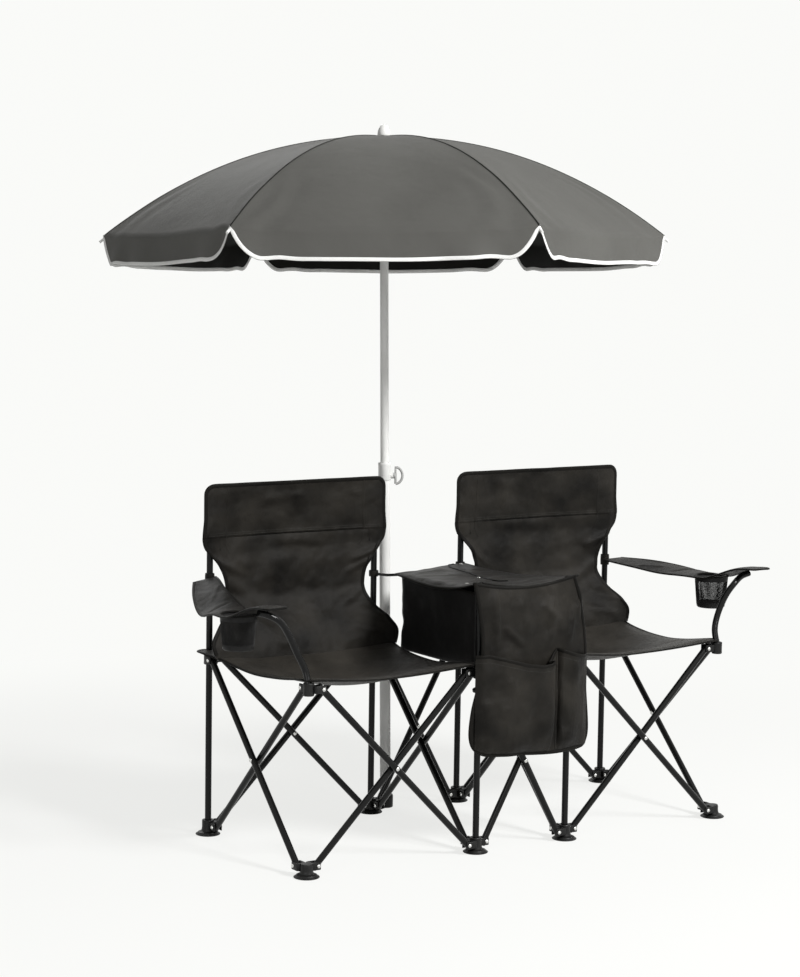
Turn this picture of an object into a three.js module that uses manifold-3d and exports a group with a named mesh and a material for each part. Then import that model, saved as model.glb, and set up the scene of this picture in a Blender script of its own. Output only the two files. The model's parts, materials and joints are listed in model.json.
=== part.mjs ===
// Folding double camping chair with a sun umbrella, in millimetres, +Z up.
// The origin is under the foot of the left chair's inner rear post. +X runs towards the right
// chair, and the sitters face -Y. "Left" and "right" are as seen from the front.
import * as THREE from "three";
import { mergeVertices } from "three/addons/utils/BufferGeometryUtils.js";
import Module from "manifold-3d";

const wasm = await Module();
wasm.setup();

// Frame layout
const seatPitch = 480; // between the post axes of one chair, across and front to rear
const tableGap = 270; // between the inner posts of the two chairs
const hubPinHeight = 446; // rivets that join the crossed tubes to the seat hubs
const footPinHeight = 24; // rivets that join the crossed tubes to the feet
const middlePinHeight = 408; // top ends of the two narrow crosses under the table
const pinOffset = 30; // from a post axis to the rivets beside it
const rearPostTop = 846;

// Steel tube and rivets
const tubeRadius = 8;
const tubeSides = 8;
const tubeEnd = 11; // tube left beyond its end rivet
const crossGap = 1; // between the two tubes of a cross
const runningGap = 0.3; // between pieces that move on each other
const rivetRadius = 2.4;
const rivetHoleRadius = 2.9;
const rivetHeadRadius = 5;
const rivetHeadHeight = 2.5;
const rivetSides = 6;

// Feet and hubs
const footFlangeRadius = 31;
const footFlangeHeight = 3;
const footShoulderRadius = 25;
const footShoulderHeight = 8;
const footSocketRadius = 15;
const footSocketHeight = 38;
const postSeatDepth = 30; // post inside the foot's socket
const hubRadius = 13.5;
const hubHeight = 30;
const hubBoreRadius = 8.8;
const moldedSides = 10;
const yokeReach = 8; // yoke plate beyond its rivet
const yokeInnerPlate = 5.7;
const yokeOuterPlate = 3.5;
const yokeWallStart = 7;
const yokeWallEnd = 15.4;
const yokeHeight = 18;

// Ring ends of the narrow crosses
const ringBoreRadius = 11;
const ringWall = 4;
const ringHeight = 8;
const ringArmWidth = 7;
const middleFoldedSpan = 60; // rivet to rivet across a narrow cross when it is folded

// Arm tubes: how far they lean out of the chair, back from the hub, and above the hub rivet
const armReach = 122;
const armRise = 184;
const armSetback = 24;
const armTubeSteps = 10;
const armTubeSides = 8;
const armBendShares = [
  [0, 0, 0.1],
  [0.02, 0.55, 0.24],
  [0.14, 0.92, 0.43],
  [0.36, 0.92, 0.71],
  [0.57, 0.75, 0.88],
  [0.8, 1, 0.965],
  [1, 1, 1],
];

// Umbrella socket and poles
const poleX = 68;
const poleY = 34;
const poleLeanBack = 2.41; // degrees
const poleLeanSide = 0.44; // degrees
const socketRadius = 20;
const socketHeight = 34;
const socketFloor = 6;
const socketClearance = 0.5;
const socketBridgeWidth = 22;
const socketBridgeHeight = 8;
const lowerPoleRadius = 14;
const lowerPoleBore = 11.8;
const lowerPoleBoreDepth = 300;
const collarRadius = 17;
const collarHeight = 46;
const upperPoleRadius = 11;
const upperPoleOverlap = 250; // upper pole left inside the lower one at rest
const poleSides = 12;

// Clamp knob with a D-shaped loop
const knobHeight = 872;
const collarAboveKnob = 34;
const collarTop = knobHeight + collarAboveKnob;
const lowerPoleBelowCollar = 26; // end of the tube inside the collar
const lowerPoleTop = collarTop - lowerPoleBelowCollar;
const knobBearing = -32; // degrees, the way the knob points
const knobBossRadius = 8;
const knobBossReach = 25;
const knobLoopReach = 50;
const knobLoopHeight = 50;
const knobLoopBar = 3.5;
const knobLoopSteps = 8;
const knobLoopSides = 6;

// Crown, runner, ribs and stretchers
const ribCount = 6;
const ribBearing = -32.5; // degrees, the first rib
const ribStep = 360 / ribCount;
const canopyTop = 1749;
const crownRadius = 24;
const crownHeight = 16;
const crownGap = 4; // between the crown and the cloth
const ribHingeRadius = 18;
const ribHingeDrop = 10; // rib hinge below the canopy top
const ribRadius = 2.5;
const ribSides = 6;
const ribClearance = 7; // rib axis below the cloth
const ribTipOverhang = 11; // rib tip beyond the cloth
const ribTipRadius = 3.5;
const ribTipLength = 16;
const slotWidth = 6;
const slotInnerRadius = 13;
const stretcherLength = 390;
const stretcherOffset = 5; // stretcher beside its rib
const stretcherRadius = 2.2;
const stretcherEyeRadius = 3.2;
const stretcherEyeThickness = 2;
const runnerHeight = 34;
const runnerPinDrop = 10; // stretcher hinges below the runner's top
const runnerBore = 11.6;
const runnerSkirtRadius = 16;
const finialRadius = 17;
const finialHeight = 30;
const finialNeckRadius = 6;
const finialStep = 2; // finial above the cloth

// Canopy
const canopyRadius = 726;
const canopyDrop = 256;
const canopyDropPower = 2.2;
const canopyHoleRadius = 8;
const canopyThickness = 2.4;
const panelSag = 7;
const valanceHeight = 80;
const valanceFlare = 9;
const notchHeight = 1; // valance left at a rib
const panelShares = [0, 0.012, 0.032, 0.07, 0.5, 0.93, 0.968, 0.988];
const valanceShares = [0, 0.04, 0.7, 1, 1, 1, 0.7, 0.04];
const canopyRingShares = [0, 0.12, 0.32, 0.52, 0.7, 0.86, 1];

// Slings
const clothThickness = 4;
const seatCornerHeight = 466;
const seatCornerReach = 12; // seat corners beyond the post axes
const cornerHoldShare = 0.84; // beyond it the seat lies flat on the hubs
const seatHalf = seatPitch / 2 + seatCornerReach;
const seatBesideCoolerShare = 1.01; // widest half of the seat beside the cooler bag
const seatEdgeShares = [1.11, 1.1, seatBesideCoolerShare, 0.985, 0.97, 0.94, 0.95, 0.985, 1];
const seatBow = 30; // how far the seat's front edge draws in between the corners
const seatRearBow = 80; // and its rear edge, where the back sweeps forward
const frontSag = 18;
const sideSag = 24;
const seatSag = 22;
const backTop = 872;
const backForward = 12; // back cloth in front of the post axes, at the sleeves
const backBottomForward = 18; // and below them, where it passes the arm rests
const backBelly = 20;
const backFootForward = 60; // how far the back's foot sweeps forward into the seat
const backHalfWidth = 263;
const backHeightShares = [0, 0.074, 0.153, 0.214, 0.335, 0.46, 0.56, 0.62, 0.93, 0.975, 1];
const backWidthShares = [1, 1.03, 0.947, 0.848, 0.768, 0.806, 0.913, 0.994, 1, 0.985, 0.94];
const backFootShares = [1, 0.9, 0.66, 0.36, 0, 0, 0, 0, 0, 0, 0];
const sleeveAboveArm = 47; // bottom of the post sleeve above the arm's sleeve
const sleeveLength = 135;
const sleeveHalfWidth = 23;
const sleeveHalfDepth = 13;
const headrestSeam = 748;
const headrestStep = 3;
const clothColumns = 8;
const seatShares = [0, 0.08, 0.2, 0.35, 0.5, 0.65, 0.8, 0.92, 1];
const backRowShares = [
  0, 0.074, 0.153, 0.214, 0.27, 0.335, 0.45, 0.54, 0.62, 0.69, 0.71, 0.84, 0.94, 0.98, 1,
];
const sleeveSides = 10;

// Arm rests with their cup pockets
const armStrapMiddleHeight = 609;
const armStrapRearRise = 37; // at the rear post, above the middle
const armStrapRearHeight = armStrapMiddleHeight + armStrapRearRise;
const armStrapFrontHeight = 648;
const armStrapThickness = 3;
const armStrapLength = 522;
const strapForwardShares = [0, 0.14, 0.29, 0.57, 0.86, 1];
const strapReachShares = [0.12, 0.4, 0.62, 0.82, 0.885, 0.9];
const strapRiseShares = [1, 0.62, 0.16, 0, 0, 0];
const strapWidthShares = [0.65, 0.86, 0.96, 1, 0.76, 0.67];
const strapTwistShares = [0.2, 0.85, 1, 0, 0, 0];
const armStrapWidth = 98;
const armStrapTwist = 32; // degrees, behind the cup
const armStrapRows = 10;
const armStrapColumns = 4;
const armSleeveRadius = 12.5;
const armSleeveHeight = 44;
const armRestTop = armStrapRearHeight + armSleeveHeight / 2;
const sleeveBottom = armRestTop + sleeveAboveArm;
const sleeveTop = sleeveBottom + sleeveLength;
const cupForward = 329; // cup centre in front of the rear post
const cupTopRadius = 43;
const cupBottomRadius = 37;
const cupDepth = 84;
const cupWall = 3;
const cupSides = 16;

// Table top, cooler bag and organizer
const tableHeight = 638; // at the rear
const tableFrontRise = 10; // middle of the front edge above the rear
const tableCornerRise = 20; // front corners above that middle, held up by the posts
const tableRisePower = 3; // how late the table starts to rise, towards the front
const tableThickness = 4;
const tableFrontOverhang = 22.5; // in front of the front post axes
const tableSideOverhang = 14;
const tableRearLeftStart = 100; // rear left corner, in front of the post axis
const tableRearRightStart = 10;
const tableCells = 6;
const tableSleeveRadius = 12.5;
const tableSleeveHeight = 16;
const tableFrontSleeveHeight = 24;
const tableCapHeight = 3; // cloth over the front posts
const tableTieRadius = 4;
const tieBelowTable = 10;
const tableTieHeight = tableHeight - tieBelowTable;
const frontPostAboveTable = 24; // above the rear of the table, inside its raised corners
const frontPostTop = tableHeight + frontPostAboveTable;
const coolerSeatGap = 0.5; // between the cooler and the seats beside it
const coolerInset = seatHalf * seatBesideCoolerShare - seatPitch / 2 + coolerSeatGap;
const coolerHubGap = 2; // between the cooler and the yokes of the front hubs
const coolerFront = seatPitch - pinOffset - yokeReach - coolerHubGap;
const coolerRear = 106;
const coolerDrop = 190; // cooler floor below the table top
const coolerBottom = tableHeight - coolerDrop;
const coolerWall = 4;
const organizerPanel = 5;
const organizerOverhang = 44; // panel outside the inner post axes
const organizerClearance = 0.6; // behind the panel, where the table edge slopes
const organizerRise = 2; // organizer's edge above the table's front corners
const organizerTop = tableHeight + tableFrontRise + tableCornerRise + organizerRise;
const organizerHeight = 438;
const organizerBottom = organizerTop - organizerHeight;
const organizerLeftShares = [
  [0.062, 0.16], [0.095, 0.36], [0.072, 0.55], [0.018, 0.72], [0.003, 0.86], [0.06, 0.94],
];
const organizerBottomShares = [[0.14, 0.975], [0.39, 0.985], [0.64, 1], [0.985, 0.965]];
const organizerRightShares = [
  [1, 0.905], [0.975, 0.61], [0.975, 0.44], [0.95, 0.265], [0.9, 0.09], [0.866, 0],
];
const organizerTopShares = [[0.44, 0.04], [0.02, 0]];
const organizerSteps = 2;
const pocketDrop = 190; // pocket mouths below the organizer's edge
const pocketTop = organizerTop - pocketDrop;
const pocketLeftInset = 34;
const pocketRightInset = 17;
const pocketFloorInset = 22;
const pocketDepth = 20;
const pocketBulge = 9;
const pocketWall = 3;
const pocketSplitShare = 0.7;

const degree = Math.PI / 180;
const weldDistance = 1e-4;
const overrun = 5; // how far a cutter runs past what it cuts
const halvings = 40; // steps of a search between two bounds
const up = new THREE.Vector3(0, 0, 1);

// Colours as seen in the photograph
const finishes = {
  tube: { color: 0x0b0b0b, roughness: 0.28, metalness: 0.1 },
  molded: { color: 0x101010, roughness: 0.45, metalness: 0 },
  oxford: { color: 0x262422, roughness: 0.9, metalness: 0 },
  lining: { color: 0x0d0d0c, roughness: 0.95, metalness: 0 },
  pole: { color: 0xd9d9d6, roughness: 0.35, metalness: 0.1 },
  ribs: { color: 0xe4e4e1, roughness: 0.4, metalness: 0 },
  canopy: { color: 0x4a4a46, roughness: 0.85, metalness: 0 },
};

const chair = new THREE.Group();
const umbrella = new THREE.Group();
umbrella.position.set(poleX, poleY, 0);
umbrella.rotation.set(-poleLeanBack * degree, poleLeanSide * degree, 0);
chair.add(umbrella);

// A closed geometry as a solid that can be joined and cut.
function solid(geometry) {
  const loose = geometry.index ? geometry.toNonIndexed() : geometry;
  const bare = new THREE.BufferGeometry();
  bare.setAttribute("position", loose.getAttribute("position"));
  const welded = mergeVertices(bare, weldDistance);
  const faces = [];
  for (let i = 0; i < welded.index.count; i += 3) {
    const [a, b, c] = [0, 1, 2].map((k) => welded.index.getX(i + k));
    if (a !== b && b !== c && c !== a) faces.push(a, b, c);
  }
  return new wasm.Manifold(
    new wasm.Mesh({
      numProp: 3,
      vertProperties: welded.attributes.position.array,
      triVerts: new Uint32Array(faces),
    }),
  );
}

function join(pieces) {
  return pieces.reduce((whole, piece) => whole.add(piece));
}

function cut(whole, cutters) {
  return cutters.reduce((rest, cutter) => rest.subtract(cutter), whole);
}

// Adds a solid to a group as a named mesh with one of the finishes.
function place(group, name, finish, whole) {
  const made = whole.getMesh();
  const geometry = new THREE.BufferGeometry();
  geometry.setAttribute("position", new THREE.BufferAttribute(made.vertProperties, 3));
  geometry.setIndex(new THREE.BufferAttribute(made.triVerts, 1));
  geometry.computeVertexNormals();
  const mesh = new THREE.Mesh(geometry, new THREE.MeshStandardMaterial(finishes[finish]));
  mesh.name = name;
  group.add(mesh);
}

// A round bar from one point to another, of one or two radii.
function bar(start, end, radius, sides, endRadius = radius) {
  const span = new THREE.Vector3().subVectors(end, start);
  const geometry = new THREE.CylinderGeometry(endRadius, radius, span.length(), sides);
  const turn = new THREE.Quaternion().setFromUnitVectors(
    new THREE.Vector3(0, 1, 0),
    span.clone().normalize(),
  );
  geometry.applyQuaternion(turn);
  const middle = start.clone().addScaledVector(span, 1 / 2);
  geometry.translate(middle.x, middle.y, middle.z);
  return solid(geometry);
}

// A turned shape about a vertical axis, from a profile of [radius, height] points.
function turned(profile, sides, x = 0, y = 0) {
  const points = profile.map(([radius, height]) => new THREE.Vector2(radius, height));
  const geometry = new THREE.LatheGeometry(points, sides);
  geometry.rotateX(Math.PI / 2);
  geometry.translate(x, y, 0);
  return solid(geometry);
}

// A box whose length runs along a level direction.
function block(centre, along, length, width, height) {
  const geometry = new THREE.BoxGeometry(length, width, height);
  const across = new THREE.Vector3().crossVectors(up, along);
  const frame = new THREE.Matrix4().makeBasis(along, across, up).setPosition(centre);
  geometry.applyMatrix4(frame);
  return solid(geometry);
}

// A round tube swept along a curve.
function swept(curve, radius, sides, steps) {
  const rim = evenShares(sides).map((share) => {
    const turn = 2 * Math.PI * share;
    return new THREE.Vector2(radius * Math.cos(turn), radius * Math.sin(turn));
  });
  const options = { steps, bevelEnabled: false, extrudePath: curve };
  return solid(new THREE.ExtrudeGeometry(new THREE.Shape(rim.slice(1)), options));
}

// A line through a run of points, with a step of the sweep at each of them.
class PointLine extends THREE.Curve {
  constructor(points) {
    super();
    this.points = points;
  }

  getPoint(share, target = new THREE.Vector3()) {
    const place = share * (this.points.length - 1);
    const i = Math.min(Math.floor(place), this.points.length - 2);
    return target.lerpVectors(this.points[i], this.points[i + 1], place - i);
  }

  getPointAt(share, target) {
    return this.getPoint(share, target);
  }

  getTangentAt(share, target) {
    return this.getTangent(share, target);
  }
}

// A sheet of even thickness over a grid of points. A grid whose columns meet again is a closed
// ring, as in a canopy.
function sheet(rows, thickness, ring = false) {
  const rowCount = rows.length;
  const columnCount = rows[0].length;
  const wrap = (j) => (ring ? (j + columnCount) % columnCount : Math.min(Math.max(j, 0), columnCount - 1));
  const clampRow = (i) => Math.min(Math.max(i, 0), rowCount - 1);
  const points = [];
  for (const side of [1 / 2, -1 / 2]) {
    for (let i = 0; i < rowCount; i += 1) {
      for (let j = 0; j < columnCount; j += 1) {
        const alongRow = rows[i][wrap(j + 1)].clone().sub(rows[i][wrap(j - 1)]);
        const alongColumn = rows[clampRow(i + 1)][j].clone().sub(rows[clampRow(i - 1)][j]);
        const normal = alongRow.cross(alongColumn).normalize();
        points.push(rows[i][j].clone().addScaledVector(normal, side * thickness));
      }
    }
  }
  const under = rowCount * columnCount;
  const at = (i, j) => i * columnCount + wrap(j);
  const faces = [];
  const quad = (a, b, c, d) => faces.push(a, b, c, a, c, d);
  const lastColumn = ring ? columnCount : columnCount - 1;
  for (let i = 0; i < rowCount - 1; i += 1) {
    for (let j = 0; j < lastColumn; j += 1) {
      quad(at(i, j), at(i, j + 1), at(i + 1, j + 1), at(i + 1, j));
      quad(under + at(i, j), under + at(i + 1, j), under + at(i + 1, j + 1), under + at(i, j + 1));
    }
    if (!ring) {
      const end = columnCount - 1;
      quad(at(i, 0), at(i + 1, 0), under + at(i + 1, 0), under + at(i, 0));
      quad(at(i, end), under + at(i, end), under + at(i + 1, end), at(i + 1, end));
    }
  }
  for (let j = 0; j < lastColumn; j += 1) {
    const end = rowCount - 1;
    quad(at(0, j), under + at(0, j), under + at(0, j + 1), at(0, j + 1));
    quad(at(end, j), at(end, j + 1), under + at(end, j + 1), under + at(end, j));
  }
  const geometry = new THREE.BufferGeometry().setFromPoints(points);
  geometry.setIndex(faces);
  return solid(geometry);
}

// An even run of shares from 0 to 1.
function evenShares(count) {
  return Array.from({ length: count + 1 }, (_, i) => i / count);
}

// The value at a position between the entries of two matching tables.
function between(position, positions, values) {
  const next = positions.findIndex((entry) => entry > position);
  const i = next < 0 ? positions.length - 1 : Math.max(next, 1);
  return THREE.MathUtils.mapLinear(
    position,
    positions[i - 1],
    positions[i],
    values[i - 1],
    values[i],
  );
}

// A value that eases from one level to another while the position goes from start to end.
function eased(position, start, end, from, to) {
  return from + (to - from) * THREE.MathUtils.smoothstep(position, start, end);
}

// Corners of the frame
const columnX = {
  left_outer: -seatPitch,
  left_inner: 0,
  right_inner: tableGap,
  right_outer: tableGap + seatPitch,
};
const rowY = { rear: 0, front: -seatPitch };

function corner(column, row) {
  return new THREE.Vector3(columnX[column], rowY[row], 0);
}

// The ten crosses. Tube a rises from the first corner and tube b from the second one. Each turns
// the same way round its posts, so that no two tubes meet beside a post.
const crosses = [
  { name: "left_rear", from: ["left_inner", "rear"], to: ["left_outer", "rear"] },
  { name: "middle_rear", from: ["left_inner", "rear"], to: ["right_inner", "rear"] },
  { name: "right_rear", from: ["right_inner", "rear"], to: ["right_outer", "rear"] },
  { name: "left_front", from: ["left_inner", "front"], to: ["left_outer", "front"] },
  { name: "middle_front", from: ["left_inner", "front"], to: ["right_inner", "front"] },
  { name: "right_front", from: ["right_inner", "front"], to: ["right_outer", "front"] },
  { name: "left_outer_side", from: ["left_outer", "rear"], to: ["left_outer", "front"] },
  { name: "left_inner_side", from: ["left_inner", "rear"], to: ["left_inner", "front"] },
  { name: "right_inner_side", from: ["right_inner", "rear"], to: ["right_inner", "front"] },
  { name: "right_outer_side", from: ["right_outer", "rear"], to: ["right_outer", "front"] },
];

for (const cross of crosses) {
  cross.narrow = cross.name.startsWith("middle");
  cross.start = corner(...cross.from);
  cross.end = corner(...cross.to);
  cross.along = cross.end.clone().sub(cross.start).normalize();
  cross.across = new THREE.Vector3().crossVectors(up, cross.along);
  cross.topHeight = cross.narrow ? middlePinHeight : hubPinHeight;
}

const tubeSideOffset = tubeRadius + crossGap / 2;
const tubeOuterFace = crossGap / 2 + 2 * tubeRadius;

// A rivet along a level direction, with a head at its far end and, if asked, one at its near end.
function rivet(pin, across, near, far, twoHeads) {
  const at = (reach) => pin.clone().addScaledVector(across, reach);
  const way = Math.sign(far - near);
  const tip = far + way * rivetHeadHeight;
  const pieces = [
    bar(at(near), at(tip), rivetRadius, rivetSides),
    bar(at(far), at(tip), rivetHeadRadius, rivetSides),
  ];
  if (twoHeads) {
    const sunk = near + way * crossGap;
    pieces.push(bar(at(near - way * rivetHeadHeight), at(sunk), rivetHeadRadius, rivetSides));
  }
  return join(pieces);
}

// Tubes of the crosses. Tube a carries the middle rivet, and tube b turns on it.
function crossedTube(cross, letter) {
  const isA = letter === "a";
  const side = isA ? 1 : -1;
  const foot = (isA ? cross.start : cross.end).clone();
  const top = (isA ? cross.end : cross.start).clone();
  const inward = cross.along.clone().multiplyScalar(side);
  foot.addScaledVector(inward, pinOffset).setZ(footPinHeight);
  top.addScaledVector(inward, -pinOffset).setZ(cross.topHeight);
  const middle = foot.clone().lerp(top, 1 / 2);
  const slope = top.clone().sub(foot).normalize();
  const shift = cross.across.clone().multiplyScalar(side * tubeSideOffset);
  const length = foot.distanceTo(top) + 2 * tubeEnd;
  const facet = Math.PI / tubeSides;
  const shape = new THREE.CylinderGeometry(tubeRadius, tubeRadius, length, tubeSides, 1, false, facet);
  const third = new THREE.Vector3().crossVectors(cross.across, slope);
  const set = new THREE.Matrix4().makeBasis(cross.across, slope, third);
  shape.applyMatrix4(set.setPosition(middle.clone().add(shift)));
  const tube = solid(shape);
  const hole = (pin) =>
    bar(
      pin.clone().addScaledVector(cross.across, tubeOuterFace + overrun),
      pin.clone().addScaledVector(cross.across, -tubeOuterFace - overrun),
      rivetHoleRadius,
      rivetSides,
    );
  const holes = cross.narrow ? [hole(foot)] : [hole(foot), hole(top)];
  if (!isA) holes.push(hole(middle));
  let made = cut(tube, holes);
  if (isA) {
    made = made.add(rivet(middle, cross.across, tubeOuterFace, -tubeOuterFace - runningGap, true));
  }
  return cross.narrow ? ringEnd(cross, made, top, inward, side) : made;
}

// The narrow crosses end in a ring round the post. It lies level halfway through the fold, so
// that it tilts alike either way.
function ringEnd(cross, tube, top, inward, side) {
  const openSpan = tableGap - 2 * pinOffset;
  const rise = middlePinHeight - footPinHeight;
  const openAngle = Math.atan2(rise, openSpan);
  const foldedAngle = Math.acos(middleFoldedSpan / Math.hypot(openSpan, rise));
  const tilt = (foldedAngle - openAngle) / 2;
  const ringOuter = ringBoreRadius + ringWall;
  const profile = [
    [ringBoreRadius, -ringHeight / 2],
    [ringOuter, -ringHeight / 2],
    [ringOuter, ringHeight / 2],
    [ringBoreRadius, ringHeight / 2],
    [ringBoreRadius, -ringHeight / 2],
  ];
  const armStart = ringBoreRadius + ringWall / 2;
  const armLength = pinOffset - armStart + tubeRadius / 2;
  const points = profile.map(([radius, height]) => new THREE.Vector2(radius, height));
  const ring = new THREE.LatheGeometry(points, moldedSides);
  ring.rotateX(Math.PI / 2);
  const arm = new THREE.BoxGeometry(armLength, ringArmWidth, ringHeight);
  arm.translate(-armStart - armLength / 2, ringArmWidth / 2 + crossGap, 0);
  const flip = new THREE.Matrix4().makeBasis(
    inward,
    new THREE.Vector3().crossVectors(up, inward),
    up,
  );
  const sideOfArm = Math.sign(new THREE.Vector3().crossVectors(up, inward).dot(cross.across) * side);
  const placeEnd = new THREE.Matrix4()
    .makeTranslation(top.x, top.y, top.z)
    .multiply(flip)
    .multiply(new THREE.Matrix4().makeRotationY(tilt))
    .multiply(new THREE.Matrix4().makeTranslation(pinOffset, 0, 0));
  if (sideOfArm < 0) arm.rotateX(Math.PI);
  const solids = [ring, arm].map((geometry) => solid(geometry.applyMatrix4(placeEnd)));
  return join([tube, ...solids]);
}

for (const cross of crosses) {
  for (const letter of ["a", "b"]) {
    place(chair, `${cross.name}_tube_${letter}`, "tube", crossedTube(cross, letter));
  }
}

// Yokes hold the tube ends. Each is a U of an inner plate, a wall behind the tube and an outer
// plate, with a rivet through both plates and the tube.
function yoke(post, along, across, pinHeight) {
  const inner = crossGap / 2 - runningGap;
  const outer = tubeOuterFace + runningGap;
  const hand = Math.sign(new THREE.Vector3().crossVectors(up, along).dot(across));
  const end = pinOffset + yokeReach;
  const outline = [
    [yokeWallStart, inner - yokeInnerPlate],
    [end, inner - yokeInnerPlate],
    [end, inner],
    [yokeWallEnd, inner],
    [yokeWallEnd, outer],
    [end, outer],
    [end, outer + yokeOuterPlate],
    [yokeWallStart, outer + yokeOuterPlate],
  ].map(([reach, side]) => new THREE.Vector2(reach, hand * side));
  const options = { depth: yokeHeight, bevelEnabled: false };
  const geometry = new THREE.ExtrudeGeometry(new THREE.Shape(outline), options);
  geometry.translate(0, 0, pinHeight - yokeHeight / 2);
  const left = new THREE.Vector3().crossVectors(up, along);
  geometry.applyMatrix4(new THREE.Matrix4().makeBasis(along, left, up).setPosition(post));
  const pin = post.clone().addScaledVector(along, pinOffset).setZ(pinHeight);
  const pinned = rivet(pin, across, inner - yokeInnerPlate / 2, outer + yokeOuterPlate, false);
  return solid(geometry).add(pinned);
}

// Every yoke of one corner, at the feet or at the hubs.
function yokesAt(column, row, atFoot) {
  const yokes = [];
  for (const cross of crosses) {
    const starts = cross.from[0] === column && cross.from[1] === row;
    const ends = cross.to[0] === column && cross.to[1] === row;
    if (!(starts || ends) || (!atFoot && cross.narrow)) continue;
    const along = cross.along.clone().multiplyScalar(starts ? 1 : -1);
    const side = starts === atFoot ? 1 : -1;
    const across = cross.across.clone().multiplyScalar(side);
    yokes.push(yoke(corner(column, row), along, across, atFoot ? footPinHeight : hubPinHeight));
  }
  return yokes;
}

// Feet: a flared base with a socket, the yokes and, except at the outer front corners, the post.
function foot(column, row, postTop) {
  const post = corner(column, row);
  const top = postTop ? footSocketHeight : footPinHeight + yokeHeight / 2;
  const profile = [
    [0, 0],
    [footFlangeRadius, 0],
    [footFlangeRadius, footFlangeHeight],
    [footShoulderRadius, footShoulderHeight],
    [footSocketRadius, footShoulderHeight],
    [footSocketRadius, top],
    [0, top],
  ];
  const pieces = [turned(profile, moldedSides, post.x, post.y), ...yokesAt(column, row, true)];
  if (postTop) {
    const seat = post.clone().setZ(footSocketHeight - postSeatDepth);
    pieces.push(bar(seat, post.clone().setZ(postTop), tubeRadius, tubeSides));
  }
  return join(pieces);
}

// The umbrella socket stands beside the left chair's inner rear foot and is bridged to it.
function umbrellaSocket() {
  const centre = new THREE.Vector3(poleX, poleY, 0);
  const outside = bar(centre, centre.clone().setZ(socketHeight), socketRadius, moldedSides);
  const reach = centre.length() / 2;
  const way = centre.clone().normalize();
  const middle = way.clone().multiplyScalar(reach).setZ(socketBridgeHeight / 2);
  return join([
    outside,
    block(middle, way, 2 * reach, socketBridgeWidth, socketBridgeHeight),
  ]);
}

function socketBore() {
  const lean = new THREE.Matrix4().makeRotationFromEuler(umbrella.rotation);
  lean.setPosition(umbrella.position);
  const floor = new THREE.Vector3(0, 0, socketFloor).applyMatrix4(lean);
  const mouth = new THREE.Vector3(0, 0, socketHeight + overrun).applyMatrix4(lean);
  return bar(floor, mouth, lowerPoleRadius + socketClearance, poleSides);
}

const rearColumns = ["left_outer", "left_inner", "right_inner", "right_outer"];
for (const column of rearColumns) {
  let made = foot(column, "rear", rearPostTop);
  if (column === "left_inner") made = cut(made.add(umbrellaSocket()), [socketBore()]);
  place(chair, `${column}_rear_post`, "tube", made);
}
for (const column of ["left_inner", "right_inner"]) {
  place(chair, `${column}_front_post`, "tube", foot(column, "front", frontPostTop));
}
for (const column of ["left_outer", "right_outer"]) {
  place(chair, `${column}_front_foot`, "molded", foot(column, "front", 0));
}

// Seat hubs. Six slide on their posts; the two outer front ones carry the bent arm tubes.
function armTube(column) {
  const outward = column === "left_outer" ? -1 : 1;
  const base = corner(column, "front").setZ(hubPinHeight);
  const points = armBendShares.map(
    ([reachShare, setbackShare, riseShare]) =>
      new THREE.Vector3(
        base.x + outward * armReach * reachShare,
        base.y + armSetback * setbackShare,
        base.z + armRise * riseShare,
      ),
  );
  return swept(new THREE.CatmullRomCurve3(points), tubeRadius, armTubeSides, armTubeSteps);
}

function hub(column, row) {
  const post = corner(column, row);
  const low = post.clone().setZ(hubPinHeight - hubHeight / 2);
  const high = post.clone().setZ(hubPinHeight + hubHeight / 2);
  const body = join([bar(low, high, hubRadius, moldedSides), ...yokesAt(column, row, false)]);
  if (row === "front" && column.endsWith("outer")) return body.add(armTube(column));
  const bore = bar(
    low.clone().setZ(low.z - overrun),
    high.clone().setZ(high.z + overrun),
    hubBoreRadius,
    moldedSides,
  );
  return cut(body, [bore]);
}

for (const column of rearColumns) {
  for (const row of ["rear", "front"]) {
    place(chair, `${column}_${row}_hub`, "molded", hub(column, row));
  }
}

// Umbrella poles, upright in the leaning group
const axis = (height) => new THREE.Vector3(0, 0, height);

function lowerPole() {
  const bottom = socketFloor + runningGap;
  const tube = bar(axis(bottom), axis(lowerPoleTop), lowerPoleRadius, poleSides);
  const collar = bar(axis(collarTop - collarHeight), axis(collarTop), collarRadius, poleSides);
  const bore = bar(
    axis(collarTop - lowerPoleBoreDepth),
    axis(collarTop + overrun),
    lowerPoleBore,
    poleSides,
  );
  const way = bearing(knobBearing);
  const thread = bar(
    way.clone().multiplyScalar(upperPoleRadius).setZ(knobHeight),
    way.clone().multiplyScalar(knobBossReach + overrun).setZ(knobHeight),
    (rivetRadius + runningGap) / Math.cos(Math.PI / rivetSides),
    rivetSides,
  );
  const boss = bar(
    way.clone().multiplyScalar(lowerPoleBore).setZ(knobHeight),
    way.clone().multiplyScalar(collarRadius + overrun).setZ(knobHeight),
    knobBossRadius,
    poleSides,
  );
  return cut(join([tube, collar, boss]), [bore, thread]);
}

function bearing(degrees) {
  return new THREE.Vector3(Math.cos(degrees * degree), Math.sin(degrees * degree), 0);
}

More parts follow.
